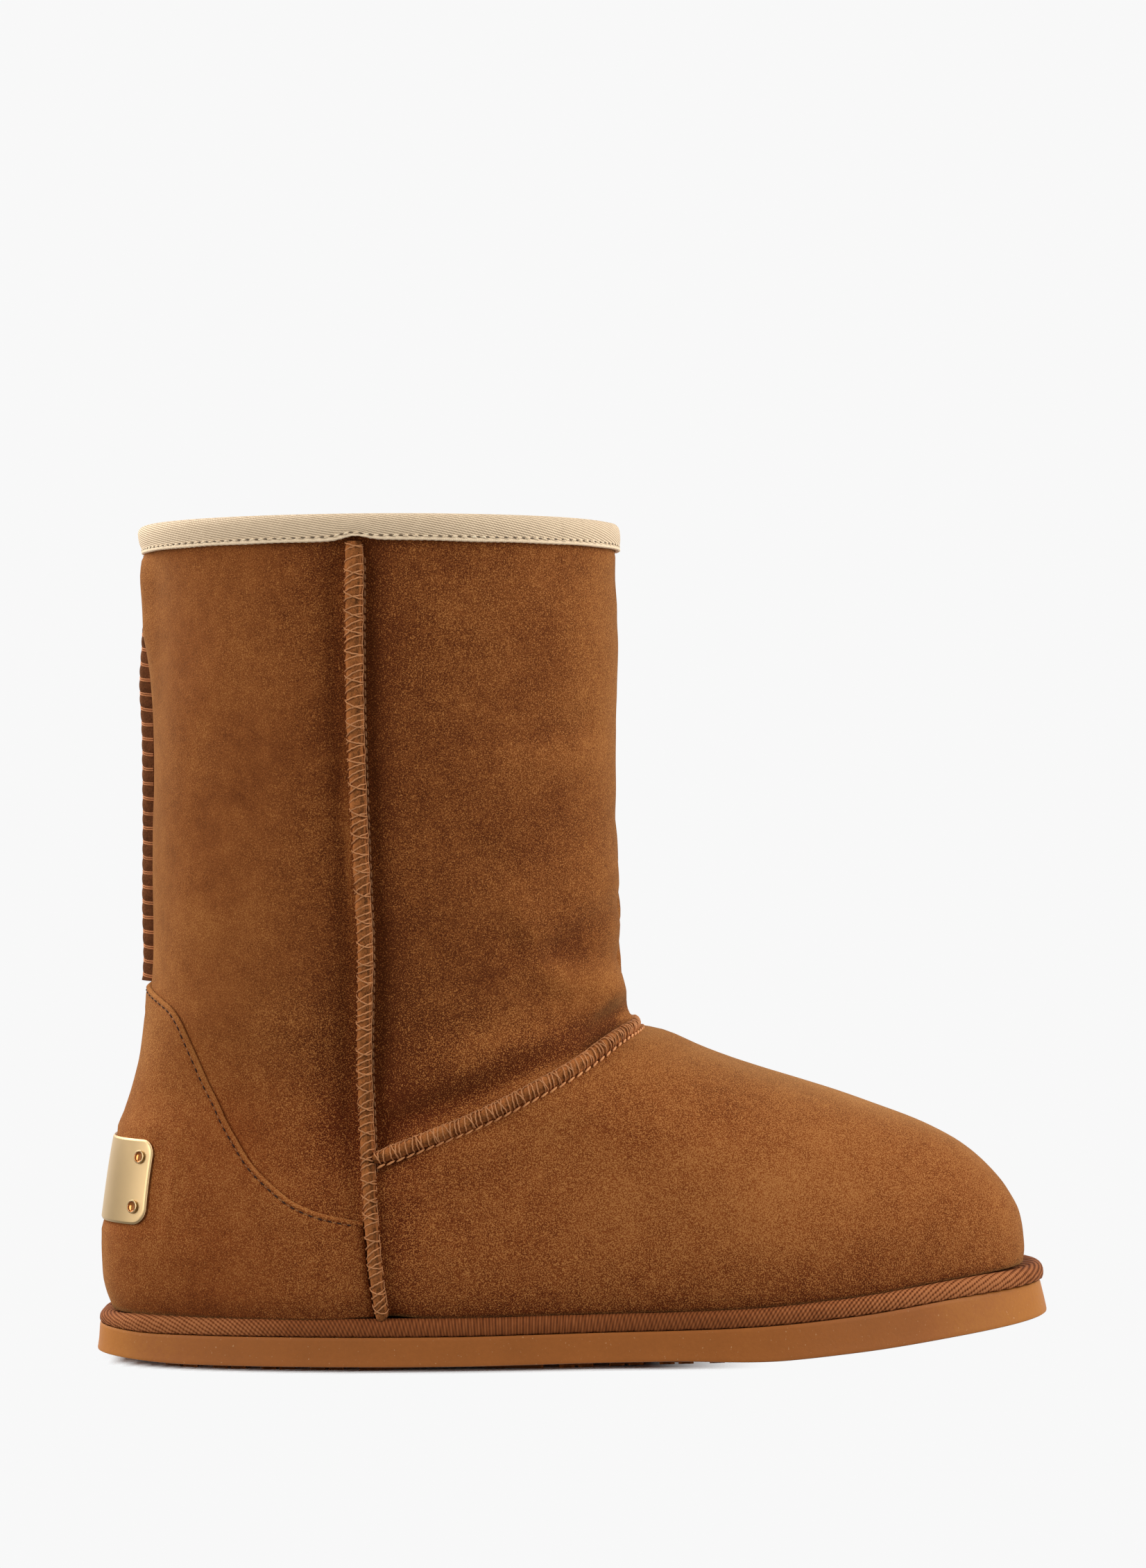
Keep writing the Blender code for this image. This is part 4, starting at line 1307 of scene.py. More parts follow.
def make_raised_seam(name, ridge, pitch, look, second, foot_thread, strand, paints):
    """A raised seam's ridge, and the overlock thread wound over it twice and along its foot.

    look holds how deep the stitches pinch the ridge and how deep its crease is, which also set
    their painted shade, and its paint; second holds the second winding's pitch in stitches, its
    lean and how far out it lies.
    """
    pinch, line, suede = look
    make_ridge(name + "_ridge", ridge, paints[suede], name, pitch, pinch, line)
    every, lean, out = second
    paths = [*wrap(ridge, pitch, ridge.slant, 0.13), *wrap(ridge, pitch * every, lean, out)]
    made = thread(name + "_overlock", [*paths, foot_thread(ridge, pitch)], strand)
    settle(made, "seam_suede", paints["thread"])


def make_side_seam(sizes, side, paints):
    """One raised side seam, with the lockstitch at its front foot."""
    name = "side_seam_lateral" if side < 0 else "side_seam_medial"
    course = Course(*side_line(side))
    width, pitch, deep = sizes.side_seam / MM, sizes.side_pitch / MM, sizes.trough / MM
    ridge = Ridge(course, -side, 1.5, width, -deep - 0.5, SIDE_STATIONS)
    look, second, strand = (0.4, 0.9, "seam"), (2.63, -1.2, 0.22), 0.9 * sizes.thread / MM
    make_raised_seam(name, ridge, pitch, look, second, edge_thread, strand, paints)
    beads = []
    for run in np.arange(3.0, course.length - 2.5, pitch):
        across = -side * (ridge.sizes(run)[0] / 2 + 0.5)
        half_sizes = (pitch * 0.44, 0.34, 0.40)
        beads.append(course.matrix(run, across, -deep + 0.5, half_sizes, -0.05 * side))
    make_beads(name + "_lockstitch", beads, "seam_suede", paints["lock"])


def make_vamp_seam(sizes, paints):
    """The raised seam over the instep, with a corded lockstitch along its lower side."""
    course = Course(VAMP_ANGLE, VAMP_LEVEL)
    width, pitch, cord = sizes.vamp_seam / MM, sizes.vamp_pitch / MM, 2.9
    ridge = Ridge(course, -1.0, 0.7, width, -2.4, VAMP_STATIONS)
    look, second, strand = (0.42, 0.40, "vamp"), (3.37, -0.9, 0.20), 0.8 * sizes.thread / MM
    make_raised_seam("vamp_seam", ridge, pitch, look, second, loop_thread, strand, paints)
    beads = [
        course.matrix(run, -(width / 2 + 0.5), -0.15, (cord * 0.50, 0.36, 0.44), 0.18)
        for run in np.arange(1.5, course.length - 1.0, cord)
        if abs(run / course.length - 0.5) > 0.02
    ]
    make_beads("vamp_seam_lockstitch", beads, "seam_suede", paints["cord"])


def make_back_seam(sizes, paints):
    """The strip up the back, pinched by pairs of whip stitches."""
    level = np.linspace(COUNTER_TOP - 0.4, COLLAR - TAPE_REACH + 1.0, 150)
    course = Course(np.full(150, PI), level)
    width, pitch = sizes.back_seam / MM, sizes.back_pitch / MM
    count, rows = 22, int(course.length / 0.55)

    def waist(run):
        return np.abs(np.sin(PI * (run - 2.0) / pitch)) ** 0.5

    def hidden(run):
        return 1.5 * smooth(run, 101.0, 107.0)

    def fuller(run):
        return 0.5 * near(run - 20, 18) + 0.8 * near(run - 87, 10)

    def lay(i, j):
        run = course.length * j / rows
        top = 3.1 + 0.5 * waist(run) - hidden(run)
        across, up = ridge_shape(i / count, width, -1.5 + 0 * run, top)
        up = np.where(up > 0, up + fuller(run), up)
        points = course.at(run, across * (0.93 + 0.12 * waist(run)), up)
        # Tone: painted shade where the stitches pinch the strip, over random patches.
        return points, None, 0.3 * ripple(points, 2.2, 1.1) + 0.3 * (waist(run) - 0.6)

    strip = close_ends(laid_grid("back_seam_strip", count, rows, lay, closed=True))
    settle(strip, "seam_suede", paints["strip"], "back_seam")
    paths = []
    turn = np.linspace(0.02, 0.48, 15)
    for start in np.arange(2.0, course.length - 1.5, pitch):
        for beside in (-0.28, 0.28):
            run = start + beside + 0.75 * np.cos(2 * PI * turn) + 0.08 * np.sin(14 * turn + start)
            top = 3.3 - hidden(run) + fuller(run)
            across, up = ridge_shape(turn, width + 0.15, np.full(15, -1.2), top)
            paths.append(course.at(run, across, up))
    made = thread("back_seam_whip_stitches", paths, 0.46)
    settle(made, "seam_suede", paints["whip"])


def tape_rise(ahead):
    """How far the collar tape rides up over a side seam, by the distance ahead of the seam."""
    return 1.3 * near(ahead, 4.2) + 0.55 * near(ahead - 9, 15)


def tape_bulge(place, at_seam, at_back):
    """How far the tape stands out: over the side seams, at the front and back, and unevenly."""
    x, y = place[:, 0], place[:, 1]
    bulge = at_seam * near(x - TAPE_SEAM, 4.5) + 0.9 * near(y, 26) * (x > 0)
    return bulge + at_back * near(y, 20) * (x < -80) + 0.2 * ripple(place, 17.0, 6.1)


TAPE_SEAM = seam_at(228.0)
# The tape's section, from the foot of its outer side over the collar and round its roll within:
# how far out, and how far up from the collar.
TAPE_SECTION = (
    (0.32, -6.2), (1.25, -6.4), (1.75, -6.2), (1.80, -5.6), (1.52, -4.9), (1.78, -4.1),
    (1.95, -3.0), (1.98, -1.6), (1.9, -0.4), (1.6, 0.6), (0.95, 1.3), (0.0, 1.62), (-1.2, 1.72),
    (-3.0, 1.74), (-4.8, 1.72), (-6.0, 1.60), (-6.9, 1.25), (-7.5, 0.6), (-7.75, -0.4),
    (-7.8, -2.0), (-7.75, -4.0), (-7.6, -5.6), (-7.3, -6.2), (-6.5, -6.2), (-6.3, -5.5),
    (-6.2, -1.0), (-6.0, 0.3), (0.1, 0.3), (0.3, -1.0), (0.32, -5.0), (0.32, -6.2),
)


def make_binding(paint):
    """Twill tape folded over the collar, and lifted over the side seams."""
    count = 752
    profile = np.array(TAPE_SECTION)
    along = running(profile)
    steps = np.linspace(-PI, PI, count + 1)
    ring = form(steps, COLLAR)
    girth = running(ring)

    def lay(i, j):
        out, up = profile[j].T
        place = ring[i]
        low = np.clip(-up / TAPE_REACH, 0, 1) * (out > -3)
        turn = 2 * PI * girth[i] / girth[-1]
        wobble = 0.42 * np.abs(np.sin(turn * 94)) + 0.16 * np.sin(turn * 17 + 1.0)
        up = up + low * (tape_rise(place[:, 0] - TAPE_SEAM) + wobble * smooth(low, 0.8, 1.0))
        out = out + np.where(out > 0.3, tape_bulge(place, 0.75 * low, 0.5 * low), 0)
        points = beside_form(steps[i], np.minimum(COLLAR, COLLAR + up), out)
        points[:, 2] += np.maximum(0, up)
        return points, np.stack([girth[i], along[j]], -1), None

    tape = laid_grid("collar_tape", count, len(profile) - 1, lay, closed=True)
    face_outwards(tape)
    settle(tape, "cream_tape", paint, "collar_binding")


def make_binding_stitches(sizes, stitch_paint, hole_paint):
    """The stitching sunk in the tape near its lower edge."""
    angle, level = np.linspace(-PI, PI, 721), COLLAR - TAPE_STITCHING
    edge = form(angle, np.full(721, level))
    course = Course(angle, level + 0.75 * tape_rise(edge[:, 0] - TAPE_SEAM))
    pitch = sizes.collar_pitch / MM
    runs = np.arange(0.5, course.length - 0.5, pitch)
    at_collar = course.place * (1, 1, 0) + (0, 0, COLLAR)
    lift = tape_bulge(course.of(at_collar, runs), 0.56, 0.35)
    stitches, holes = [], []
    for run, up in zip(runs, lift):
        stitches.append(course.matrix(run, 0.0, 1.55 + up, (pitch * 0.27, 0.30, 0.28), 0.10))
        half_sizes = (pitch * 0.25, 0.30, 0.26)
        holes.append(course.matrix(run + pitch / 2, 0.0, 1.52 + up, half_sizes, -0.12))
    make_beads("collar_stitches", stitches, "cream_tape", stitch_paint)
    make_holes("collar_needle_holes", holes, "cream_tape", hole_paint)


def sole_ring(angle, inset):
    """The sole's outline drawn in by an inset."""
    section = np.broadcast_to(np.array(SOLE_PLAN), (*np.shape(angle), len(SOLE_PLAN)))
    x, y = plan(section, angle)
    x0, y0 = plan(section, angle - 0.01)
    x1, y1 = plan(section, angle + 0.01)
    out = unit(np.stack([y1 - y0, x0 - x1], -1))
    return x - out[..., 0] * inset, y - out[..., 1] * inset


def sole_height(x, gum_share, rand_share):
    """A height in the sole's side, by the share of the gum and then of the rand below it."""
    under, top = spring(x)
    heel = smooth(-x, 118, 137)
    low = TREAD + under + 1.0 * smooth(-x, 108, 137) - 1.3 * smooth(x, 25, 60)
    high = SOLE_TOP + top - RAND + 0.7 * heel
    rand = RAND - 1.6 * heel - 0.4 * smooth(x, 115, 137)
    return low + (high - low) * gum_share + rand * rand_share


def heel_tuck(along):
    """How far the sole's edge draws in round the back of the heel."""
    return 0.8 * smooth(-along, 122, 137)


def ring_steps(count):
    """Angles that run evenly round the sole's outline from the heel's middle, and the run."""
    fine = np.linspace(-PI, PI, 2881)
    run = running(np.stack(sole_ring(fine, 0.0), -1))
    even = np.linspace(0, run[-1], count + 1)
    return np.interp(even, run, fine), even


# The rand tape's weave: along, the rows' turn from the tape's run, and how far apart they lie.
RAND_ROWS = (
    (-137.0, 162.0, 1.15), (-115.0, 155.0, 1.15), (-90.0, 138.0, 1.0), (-60.0, 112.0, 0.85),
    (-30.0, 95.0, 0.80), (0.0, 84.0, 0.80), (40.0, 66.0, 0.85), (80.0, 44.0, 1.10),
    (110.0, 26.0, 1.50), (137.0, 18.0, 1.60),
)
# Sections of the rand and the gum: how far in from the outline, and the share of the height.
RAND_SECTION = (
    (7.5, 0.04), (2.4, 0.0), (1.45, 0.005), (1.05, 0.05), (0.86, 0.15), (0.78, 0.36), (0.85, 0.58),
    (1.08, 0.74), (1.5, 0.88), (2.1, 0.98), (2.9, 1.04), (3.8, 1.05), (4.8, 1.0), (6.0, 0.92),
    (7.5, 0.86),
)
GUM_SECTION = (  # below 0 the share leads down to the tread
    (8.0, 1.0), (2.0, 1.0), (1.15, 0.995), (0.92, 0.96), (0.82, 0.88), (0.5, 0.40), (0.18, 0.13),
    (0.06, 0.06), (0.10, 0.02), (0.40, 0.0), (3.0, 0.0), (PAD_INSET, 0.0),
    (PAD_INSET + 0.45, -0.7), (PAD_INSET + 0.8, -1.0),
)


def make_rand(paint):
    """Twill tape wrapped over a soft bead, all round above the gum."""
    count = 560
    angle, run = ring_steps(count)
    profile = np.array(RAND_SECTION)
    across = running(profile * (1, RAND))
    place, turn, apart = np.array(RAND_ROWS).T
    along = sole_ring(angle, 0.0)[0]
    slant, apart = np.radians(np.interp(along, place, turn)), np.interp(along, place, apart)
    row = -np.cumsum(np.sin(slant) / apart) * (run[1] - run[0])
    row = row * np.rint(row[-1] - row[0]) / (row[-1] - row[0])
    waves = 2 * PI * np.rint(run[-1] / RAND_DASH) / run[-1]

    def lay(i, j):
        inset, share = profile[j].T
        flat = np.stack([*sole_ring(angle[i], 0.0), 0 * inset], -1)
        soft = 0.18 * ripple(flat, 8.0, 3.3) * smooth(share, 0.1, 0.5)
        x, y = sole_ring(angle[i], inset - soft + heel_tuck(flat[:, 0]))
        edge = (0.08 + 0.16 * np.sin(run[i] * waves)) * (1 - share)
        z = sole_height(x, 1.0, share) + edge + soft * 0.6
        rows = row[i] + np.cos(slant[i]) / apart[i] * across[j]
        return np.stack([x, y, z], -1), np.stack([run[i], across[j]], -1), rows

    rand = laid_grid("rand_tape", count, len(profile) - 1, lay, closed=True)
    return settle(close_ends(rand), "brown_tape", paint, "rand")


def pad_height(x):
    """The tread's underside: flat at heel and ball, raised at the waist, sprung at the toe."""
    share = np.clip((x - WAIST_BACK) / (WAIST_FRONT - WAIST_BACK), 0, 1)
    waist = WAIST_RISE * np.sin(PI * share) ** 2
    return waist + spring(x)[0] * smooth(x, WAIST_FRONT, 20) + 0.9 * smooth(-x, 108, 130)


def make_sole(paint):
    """The gum outsole with a slightly flared side, and a tread of bars across the foot."""
    count = 360
    angle, _ = ring_steps(count)
    profile = np.array(GUM_SECTION)

    def lay(i, j):
        inset, share = profile[j].T
        along = sole_ring(angle[i], 0.0)[0]
        flare = 1.0 + 1.2 * smooth(along, 96, 136) * (inset < 3) * smooth(share, 0, 1)
        x, y = sole_ring(angle[i], inset * flare + heel_tuck(along))
        side = sole_height(x, np.maximum(share, 0), 0)
        z = np.where(share < 0, side + (pad_height(x) - side) * -share, side)
        # Tone: painted shade over the tread's underside, and painted light on the side towards the
        # toe and the heel.
        tone = np.where(share < 0, -1.0, smooth(np.abs(x + 5), 92, 140))
        return np.stack([x, y, z], -1), None, tone

    sole = laid_grid("gum_sole", count, len(profile) - 1, lay, closed=True)
    laid = len(sole.data.vertices)
    top_rim, pad_rim = (
        lambda p: p[:, 2] > 7.5 + spring(p[:, 0])[0],
        lambda p: p[:, 2] < pad_height(p[:, 0]) + 0.02,
    )
    for test in (top_rim, pad_rim):
        choose_rims(sole)
        leave()
        rim = np.zeros(len(sole.data.vertices), bool)
        sole.data.vertices.foreach_get("select", rim)
        choose(sole, lambda p, keep=rim, test=test: keep & test(p))
        bpy.ops.mesh.fill_grid(span=60, use_interp_simple=True)
        leave()
    spots = places(sole) / MM
    x, z = spots[laid:, 0], spots[laid:, 2]
    spots[laid:, 2] = np.where(z < 6 + spring(x)[0], pad_height(x), sole_height(x, 1.0, 0))
    put_places(sole, spots)
    # The filled faces of the top and the tread take the same painted shade.
    for value in sole.data.attributes["tone"].data[laid:]:
        value.value = -1.0
    face_outwards(sole)
    cut_tread(sole)
    return settle(sole, "gum", paint, "outsole", angle=38)


def cut_tread(sole):
    """Cuts the pad into bars by grooves, each bar with a sipe along its middle."""
    cuts = []
    for x in np.arange(GROOVE_FIRST, GROOVE_LAST, GROOVE_PITCH):
        if not WAIST_BACK < x < WAIST_FRONT:
            root = sole_height(np.array(x - GROOVE_WIDTH / 2), 0, 0)
            cuts.append((x, GROOVE_WIDTH, float(root) - GROOVE_SKIN))
        middle = x + GROOVE_PITCH / 2
        if middle < GROOVE_LAST and not WAIST_BACK - 4 < middle < WAIST_FRONT + 4:
            cuts.append((middle, SIPE_WIDTH, float(pad_height(np.array(middle))) + SIPE_DEPTH))
    cutters = []
    across, below_floor = 0.28, 3.0
    for x, width, top in cuts:
        clear_selection()
        height = top + below_floor
        bpy.ops.mesh.primitive_cube_add(
            size=1, location=(x * MM, 0, (top - height / 2) * MM),
            scale=(width * MM, across, height * MM),
        )
        cutters.append(bpy.context.object)
    cutter = joined(cutters)
    bpy.ops.object.transform_apply(location=True, rotation=True, scale=True)
    apply(sole, "BOOLEAN", operation="DIFFERENCE", object=cutter, solver="EXACT")
    bpy.data.objects.remove(cutter)


def heel_turns(level, arcs):
    """Angles at arc lengths round the heel from its middle, plus towards the inner side."""
    turn = np.linspace(-1.3, 1.3, 1301)
    run = running(form(PI - turn, np.full(turn.shape, level)))
    return PI - np.interp(arcs, run - run[len(run) // 2], turn)


def plate_terms(arc, up):
    """Powers of the place on the plate, for a surface with no ripples in it."""
    a, u = np.atleast_1d(arc) / 32, np.atleast_1d(up) / 12
    return np.stack([a**m * u**n for m in range(9) for n in range(4)], -1)


def plate_fit():
    """The surface that follows the heel all over the plate."""
    arcs = np.linspace(-34, 34, 69)
    terms, points = [], []
    for up in np.linspace(-13, 13, 14):
        level = PLATE_MIDDLE + up
        angle = heel_turns(level, arcs * (0.9875 - 0.0043 * up))
        points.append(on_form(angle, np.full(69, level), PLATE_LIFT))
        terms.append(plate_terms(arcs, np.full(69, up)))
    return np.linalg.lstsq(np.concatenate(terms), np.concatenate(points), rcond=None)[0]


PLATE_FIT = plate_fit()


def plate_place(arc, up, out):
    """A point on the plate: arc length and height from its middle, and distance out."""
    arc, up = np.atleast_1d(arc), np.atleast_1d(up)
    along = plate_terms(arc + 0.5, up) - plate_terms(arc - 0.5, up)
    rise = plate_terms(arc, up + 0.5) - plate_terms(arc, up - 0.5)
    away = unit(np.cross(rise @ PLATE_FIT, along @ PLATE_FIT))
    away = away * np.sign(away[:, :1] * -1)
    return plate_terms(arc, up) @ PLATE_FIT + away * np.atleast_1d(out)[..., None]


def make_plate(sizes, paints):
    """The bare metal plate bent round the heel, with a bevelled rim, and its four rivets."""
    half_length, half_height = PLATE_LENGTH / 2, PLATE_HEIGHT / 2
    straight, upright = half_length - PLATE_CORNER, half_height - PLATE_CORNER
    corner = straight + PLATE_CORNER * np.sin(PI / 2 * np.linspace(0, 1, 10)[1:])
    arcs = np.concatenate([-corner[::-1], np.linspace(-straight, straight, 81), corner])
    ups = np.linspace(-0.94, 0.94, 21)
    edge = 1 - 0.06 * np.linspace(1, 0, 5)[1:]
    ups = np.concatenate([-edge[::-1], ups, edge])
    thick = sizes.plate / MM

    def lay(i, j):
        arc = arcs[i]
        drop = np.maximum(0, PLATE_CORNER - (half_length - np.abs(arc)))
        up = (upright + np.sqrt(np.maximum(0, PLATE_CORNER**2 - drop**2))) * ups[j]
        dx, dy = np.maximum(0, np.abs(arc) - straight), np.maximum(0, np.abs(up) - upright)
        rim = np.where(
            (dx > 0) & (dy > 0), PLATE_CORNER - np.hypot(dx, dy),
            np.minimum(half_length - np.abs(arc), half_height - np.abs(up)),
        )
        bevel = 0.30 * (1 - smooth(rim, 0.0, 0.55))
        return plate_place(arc, up, thick - bevel), np.stack([arc, up], -1), None

    plate = laid_grid("gold_plate", len(arcs) - 1, len(ups) - 1, lay, flip=True)
    thicken(plate, thick - 0.12)
    choose(plate)
    bpy.ops.mesh.remove_doubles(threshold=1e-6)
    leave()
    settle(plate, "pale_gold", paints["gold"], "heel_plate", angle=40)

    corners = [(way, lift) for way in (-1, 1) for lift in (-1, 1)]
    for number, (way, lift) in enumerate(corners, 1):
        arc, up = way * (half_length - RIVET_INSET[0]), lift * (half_height - RIVET_INSET[1])
        make_rivet(number, arc, up, sizes, paints)


def make_rivet(number, arc, up, sizes, paints):
    """A rivet head: a rolled rim round a dished centre."""
    radius, thick = sizes.rivet / MM, sizes.plate / MM
    depth, rolled_rim, dish = 0.8, 0.52, 0.28
    face, foot, outer = (plate_place(arc, up, thick + out)[0] for out in (0, 0.05, 1.0))
    axis = Vector(outer - foot).normalized()
    turn = axis.to_track_quat("Z", "Y").to_matrix().to_4x4()
    clear_selection()
    bpy.ops.mesh.primitive_cylinder_add(
        vertices=40, radius=radius, depth=depth, end_fill_type="NGON"
    )
    rivet = named(bpy.context.object, f"rivet_head_{number}")
    choose(rivet, lambda p: p[:, 2] > 0)
    bpy.ops.mesh.select_mode(type="FACE")
    bpy.ops.mesh.inset(thickness=rolled_rim)
    bpy.ops.mesh.extrude_region_move(TRANSFORM_OT_translate={"value": (0, 0, -dish)})
    bpy.ops.mesh.inset(thickness=0.34)
    bpy.ops.transform.translate(value=(0, 0, -0.16))
    leave()
    apply(rivet, "BEVEL", width=0.16, segments=3, limit_method="ANGLE",
          angle_limit=math.radians(40))
    stood = turn @ Matrix.Diagonal((MM, MM, MM, 1)) @ Matrix.Translation((0, 0, depth / 2 - 0.05))
    rivet.data.transform(Matrix.Translation(Vector(foot) * MM) @ stood)
    settle(rivet, "pale_gold", paints["rivet"], f"rivet_{rivet_node(arc, up)}", angle=50)
    rivet.data.materials.append(paints["amber"])
    for polygon in rivet.data.polygons:
        away = polygon.center - Vector(face) * MM
        flat = (away - axis * away.dot(axis)).length
        if flat < (radius - 0.40) * MM and polygon.normal.dot(axis) > 0.2:
            polygon.material_index = 1


def rivet_node(arc, up):
    """Which packed rivet stands at this corner of the plate."""
    here = Vector(plate_place(arc, up, 1.0)[0]) * MM
    return min(range(1, 5), key=lambda n: (sum(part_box(f"rivet_{n}"), Vector()) / 2 - here).length)


def make_floor(colours):
    """The floor under the boot, clear away from it, so that the surround shows evenly."""
    count, reach, inset = 240, 600.0, 2.0
    outline = np.stack([*sole_ring(np.linspace(-PI, PI, 361), inset), np.zeros(361)], -1)

    def lay(i, j):
        bend = (2 * np.stack([i, j, 0 * i], -1) / count - (1, 1, 0)) * (1, 1, 0)
        points = np.sign(bend) * np.abs(bend) ** 1.8 * reach
        gap = distance_to(points, outline)
        gap = np.where(np.abs(plan_share(points, inset)) < 1, -gap, gap)
        shown = (1 - smooth(gap, -7.0, -1.5)) * (1 - smooth(points[:, 0], 20.0, 56.0))
        return points, None, shown

    floor = laid_grid("floor", count, count, lay)
    paint = Paint("pale_floor", Roughness=1.0, Specular_IOR_Level=0.0, Base_Color=colours.floor)
    paint.feed(paint.surface.inputs["Alpha"], paint.tone())
    floor.data.materials.append(paint.material)
    floor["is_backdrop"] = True


def plan_share(points, inset):
    """How far points on the floor lie from the sole's middle line: 1 at its edge."""
    angle = np.linspace(0, PI, 721)
    x, inner = sole_ring(angle, inset)
    outer = sole_ring(-angle, inset)[1]
    order = np.argsort(x)
    along = points[:, 0]
    high, low = (np.interp(along, x[order], side[order]) for side in (inner, outer))
    share = (points[:, 1] - (high + low) / 2) / np.maximum((high - low) / 2, 1e-6)
    return np.where((along > x.min()) & (along < x.max()), share, 9.0)


CAMERA_PLACE, CAMERA_ROLL, CAMERA_LENS = (0.0029, -1.064, 0.1632), 0.0175, 84.15
LAMP_MIDDLE, LAMP_DISTANCE = Vector((0, 0, 0.11)), 1.15
# The lamps: name, turn from the camera, rise, breadth and height, power.
LAMPS = (
    ("lamp_left_high", -118, 38, (0.6, 0.9), 8.8),
    ("lamp_left_front", -60, 20, (0.6, 0.9), 7.0),
    ("lamp_right_high", 92, 38, (0.6, 0.9), 5.2),
    ("lamp_right_front", 60, 20, (0.6, 0.9), 6.6),
    ("lamp_right_low", 92, 7, (0.5, 0.5), 0.9),
    ("lamp_left_low", -92, 7, (0.5, 0.5), 0.2),
)


def make_surround(colours):
    """An even pale surround to the eye, which lights the boot most from the inner side."""
    world = bpy.data.worlds.new("surround")
    bpy.context.scene.world = world
    world.use_nodes = True
    nodes = Nodes(world.node_tree)
    light = nodes.tree.nodes["Background"]
    ahead = nodes.parts(nodes.node("ShaderNodeTexCoord").outputs["Generated"])[1]
    nodes.feed(light.inputs["Color"], (1.0, 1.0, 1.0))
    nodes.feed(light.inputs["Strength"], nodes.scaled(ahead, 0.35, 0.95, 0.28, 1.1))
    seen = nodes.node("ShaderNodeBackground", None, {"Color": colours.floor}).outputs[0]
    ray = nodes.node("ShaderNodeLightPath").outputs["Is Camera Ray"]
    mix = nodes.node("ShaderNodeMixShader", None, {0: ray, 1: light.outputs[0], 2: seen})
    nodes.feed(nodes.tree.nodes["World Output"].inputs[0], mix.outputs[0])


def make_stage(colours):
    """A pale floor under an even pale surround, soft lamps and the camera."""
    make_floor(colours)
    make_surround(colours)
    scene = bpy.context.scene
    scene.view_settings.view_transform = "Standard"
    for name, turn, rise, size, power in LAMPS:
        turn, rise = math.radians(turn), math.radians(rise)
        flat = math.cos(rise)
        away = Vector((math.sin(turn) * flat, -math.cos(turn) * flat, math.sin(rise)))
        bpy.ops.object.light_add(type="AREA", location=LAMP_MIDDLE + away * LAMP_DISTANCE)
        lamp = bpy.context.object
        lamp.name = name
        lamp.data.shape = "RECTANGLE"
        lamp.data.size, lamp.data.size_y = size
        lamp.data.energy = power
        lamp.rotation_euler = (-away).to_track_quat("-Z", "Y").to_euler()

    bpy.ops.object.camera_add(location=CAMERA_PLACE, rotation=(PI / 2, CAMERA_ROLL, 0.0))
    scene.camera = bpy.context.object
    scene.camera.data.lens = CAMERA_LENS
    scene.camera.data.sensor_width = 36.0


def paints_for(colours):
    """Every material of the boot, made once."""
    made = {m.name: m for m in bpy.data.materials}
    c = colours
    kinds = {
        "suede": ("boot_suede", suede_paint, c.suede_deep, c.suede_mid, c.suede_light),
        # The seams' deep colours are shaded copies that the tone's painted shade reaches; the vamp
        # seam's suede is the side seams' suede made lighter, as painted light.
        "seam": ("side_seam_suede", cut_suede_paint, c.seam_suede, shade(c.seam_suede, 0.28)),
        "vamp": (
            "vamp_seam_suede", cut_suede_paint, shade(c.seam_suede, 1.1),
            shade(c.seam_suede, 0.3),
        ),
        "strip": ("back_strip_suede", cut_suede_paint, c.strip, shade(c.strip, 0.4)),
        "thread": ("overlock_thread", thread_paint, c.seam_thread),
        "lock": ("lockstitch_thread", thread_paint, shade(c.seam_thread, 0.50)),
        "cord": ("corded_thread", thread_paint, shade(c.seam_thread, 1.4)),
        "whip": ("whip_thread", thread_paint, c.whip_thread),
        "counter_thread": ("counter_thread", thread_paint, shade(c.seam_thread, 0.6)),
        # The needle holes' dark colours are painted shadow in the holes.
        "hole": ("needle_hole", plain_paint, c.needle_hole, 1.0),
        "cream": ("cream_twill", collar_twill_paint, c.cream, c.cream_deep),
        "cream_thread": ("cream_thread", thread_paint, c.cream),
        "cream_hole": ("cream_hole", plain_paint, shade(c.cream_deep, 0.35), 1.0),
        "brown": ("brown_twill", rand_twill_paint, c.brown, c.brown_deep),
        "gum": ("gum_rubber", gum_paint, c.gum),
        "pile": ("sheepskin_pile", pile_paint, c.pile, c.pile_deep),
        "gold": ("satin_gold", gold_paint, c.gold, 0.45),
        "rivet": ("polished_gold", gold_paint, c.gold, 0.16),
        "amber": ("amber_lacquer", plain_paint, c.amber, 0.12),
    }
    coats = {"amber": {"Metallic": 0.85, "Coat_Weight": 0.6}}
    return {
        use: made.get(name) or make(name, *values, **coats.get(use, {}))
        for use, (name, make, *values) in kinds.items()
    }


class BootOperator:
    """What the boot's operators share: the sizes and the materials."""

    bl_options = {"REGISTER", "UNDO"}

    def given(self, context):
        return context.scene.boot_sizes, paints_for(context.scene.boot_colours)


class BOOT_OT_upper(BootOperator, bpy.types.Operator):
    """Models the suede upper, drawn in at its seams"""

    bl_idname = "boot.upper"
    bl_label = "Suede upper"

    def execute(self, context):
        sizes, paints = self.given(context)
        make_shell(sizes, paints["suede"])
        return {"FINISHED"}


class BOOT_OT_lining(BootOperator, bpy.types.Operator):
    """Models the pile lining and the pile footbed"""

    bl_idname = "boot.lining"
    bl_label = "Pile lining"

    def execute(self, context):
        sizes, paints = self.given(context)
        make_lining(sizes, paints["pile"])
        make_insole(sizes, paints["pile"])
        return {"FINISHED"}


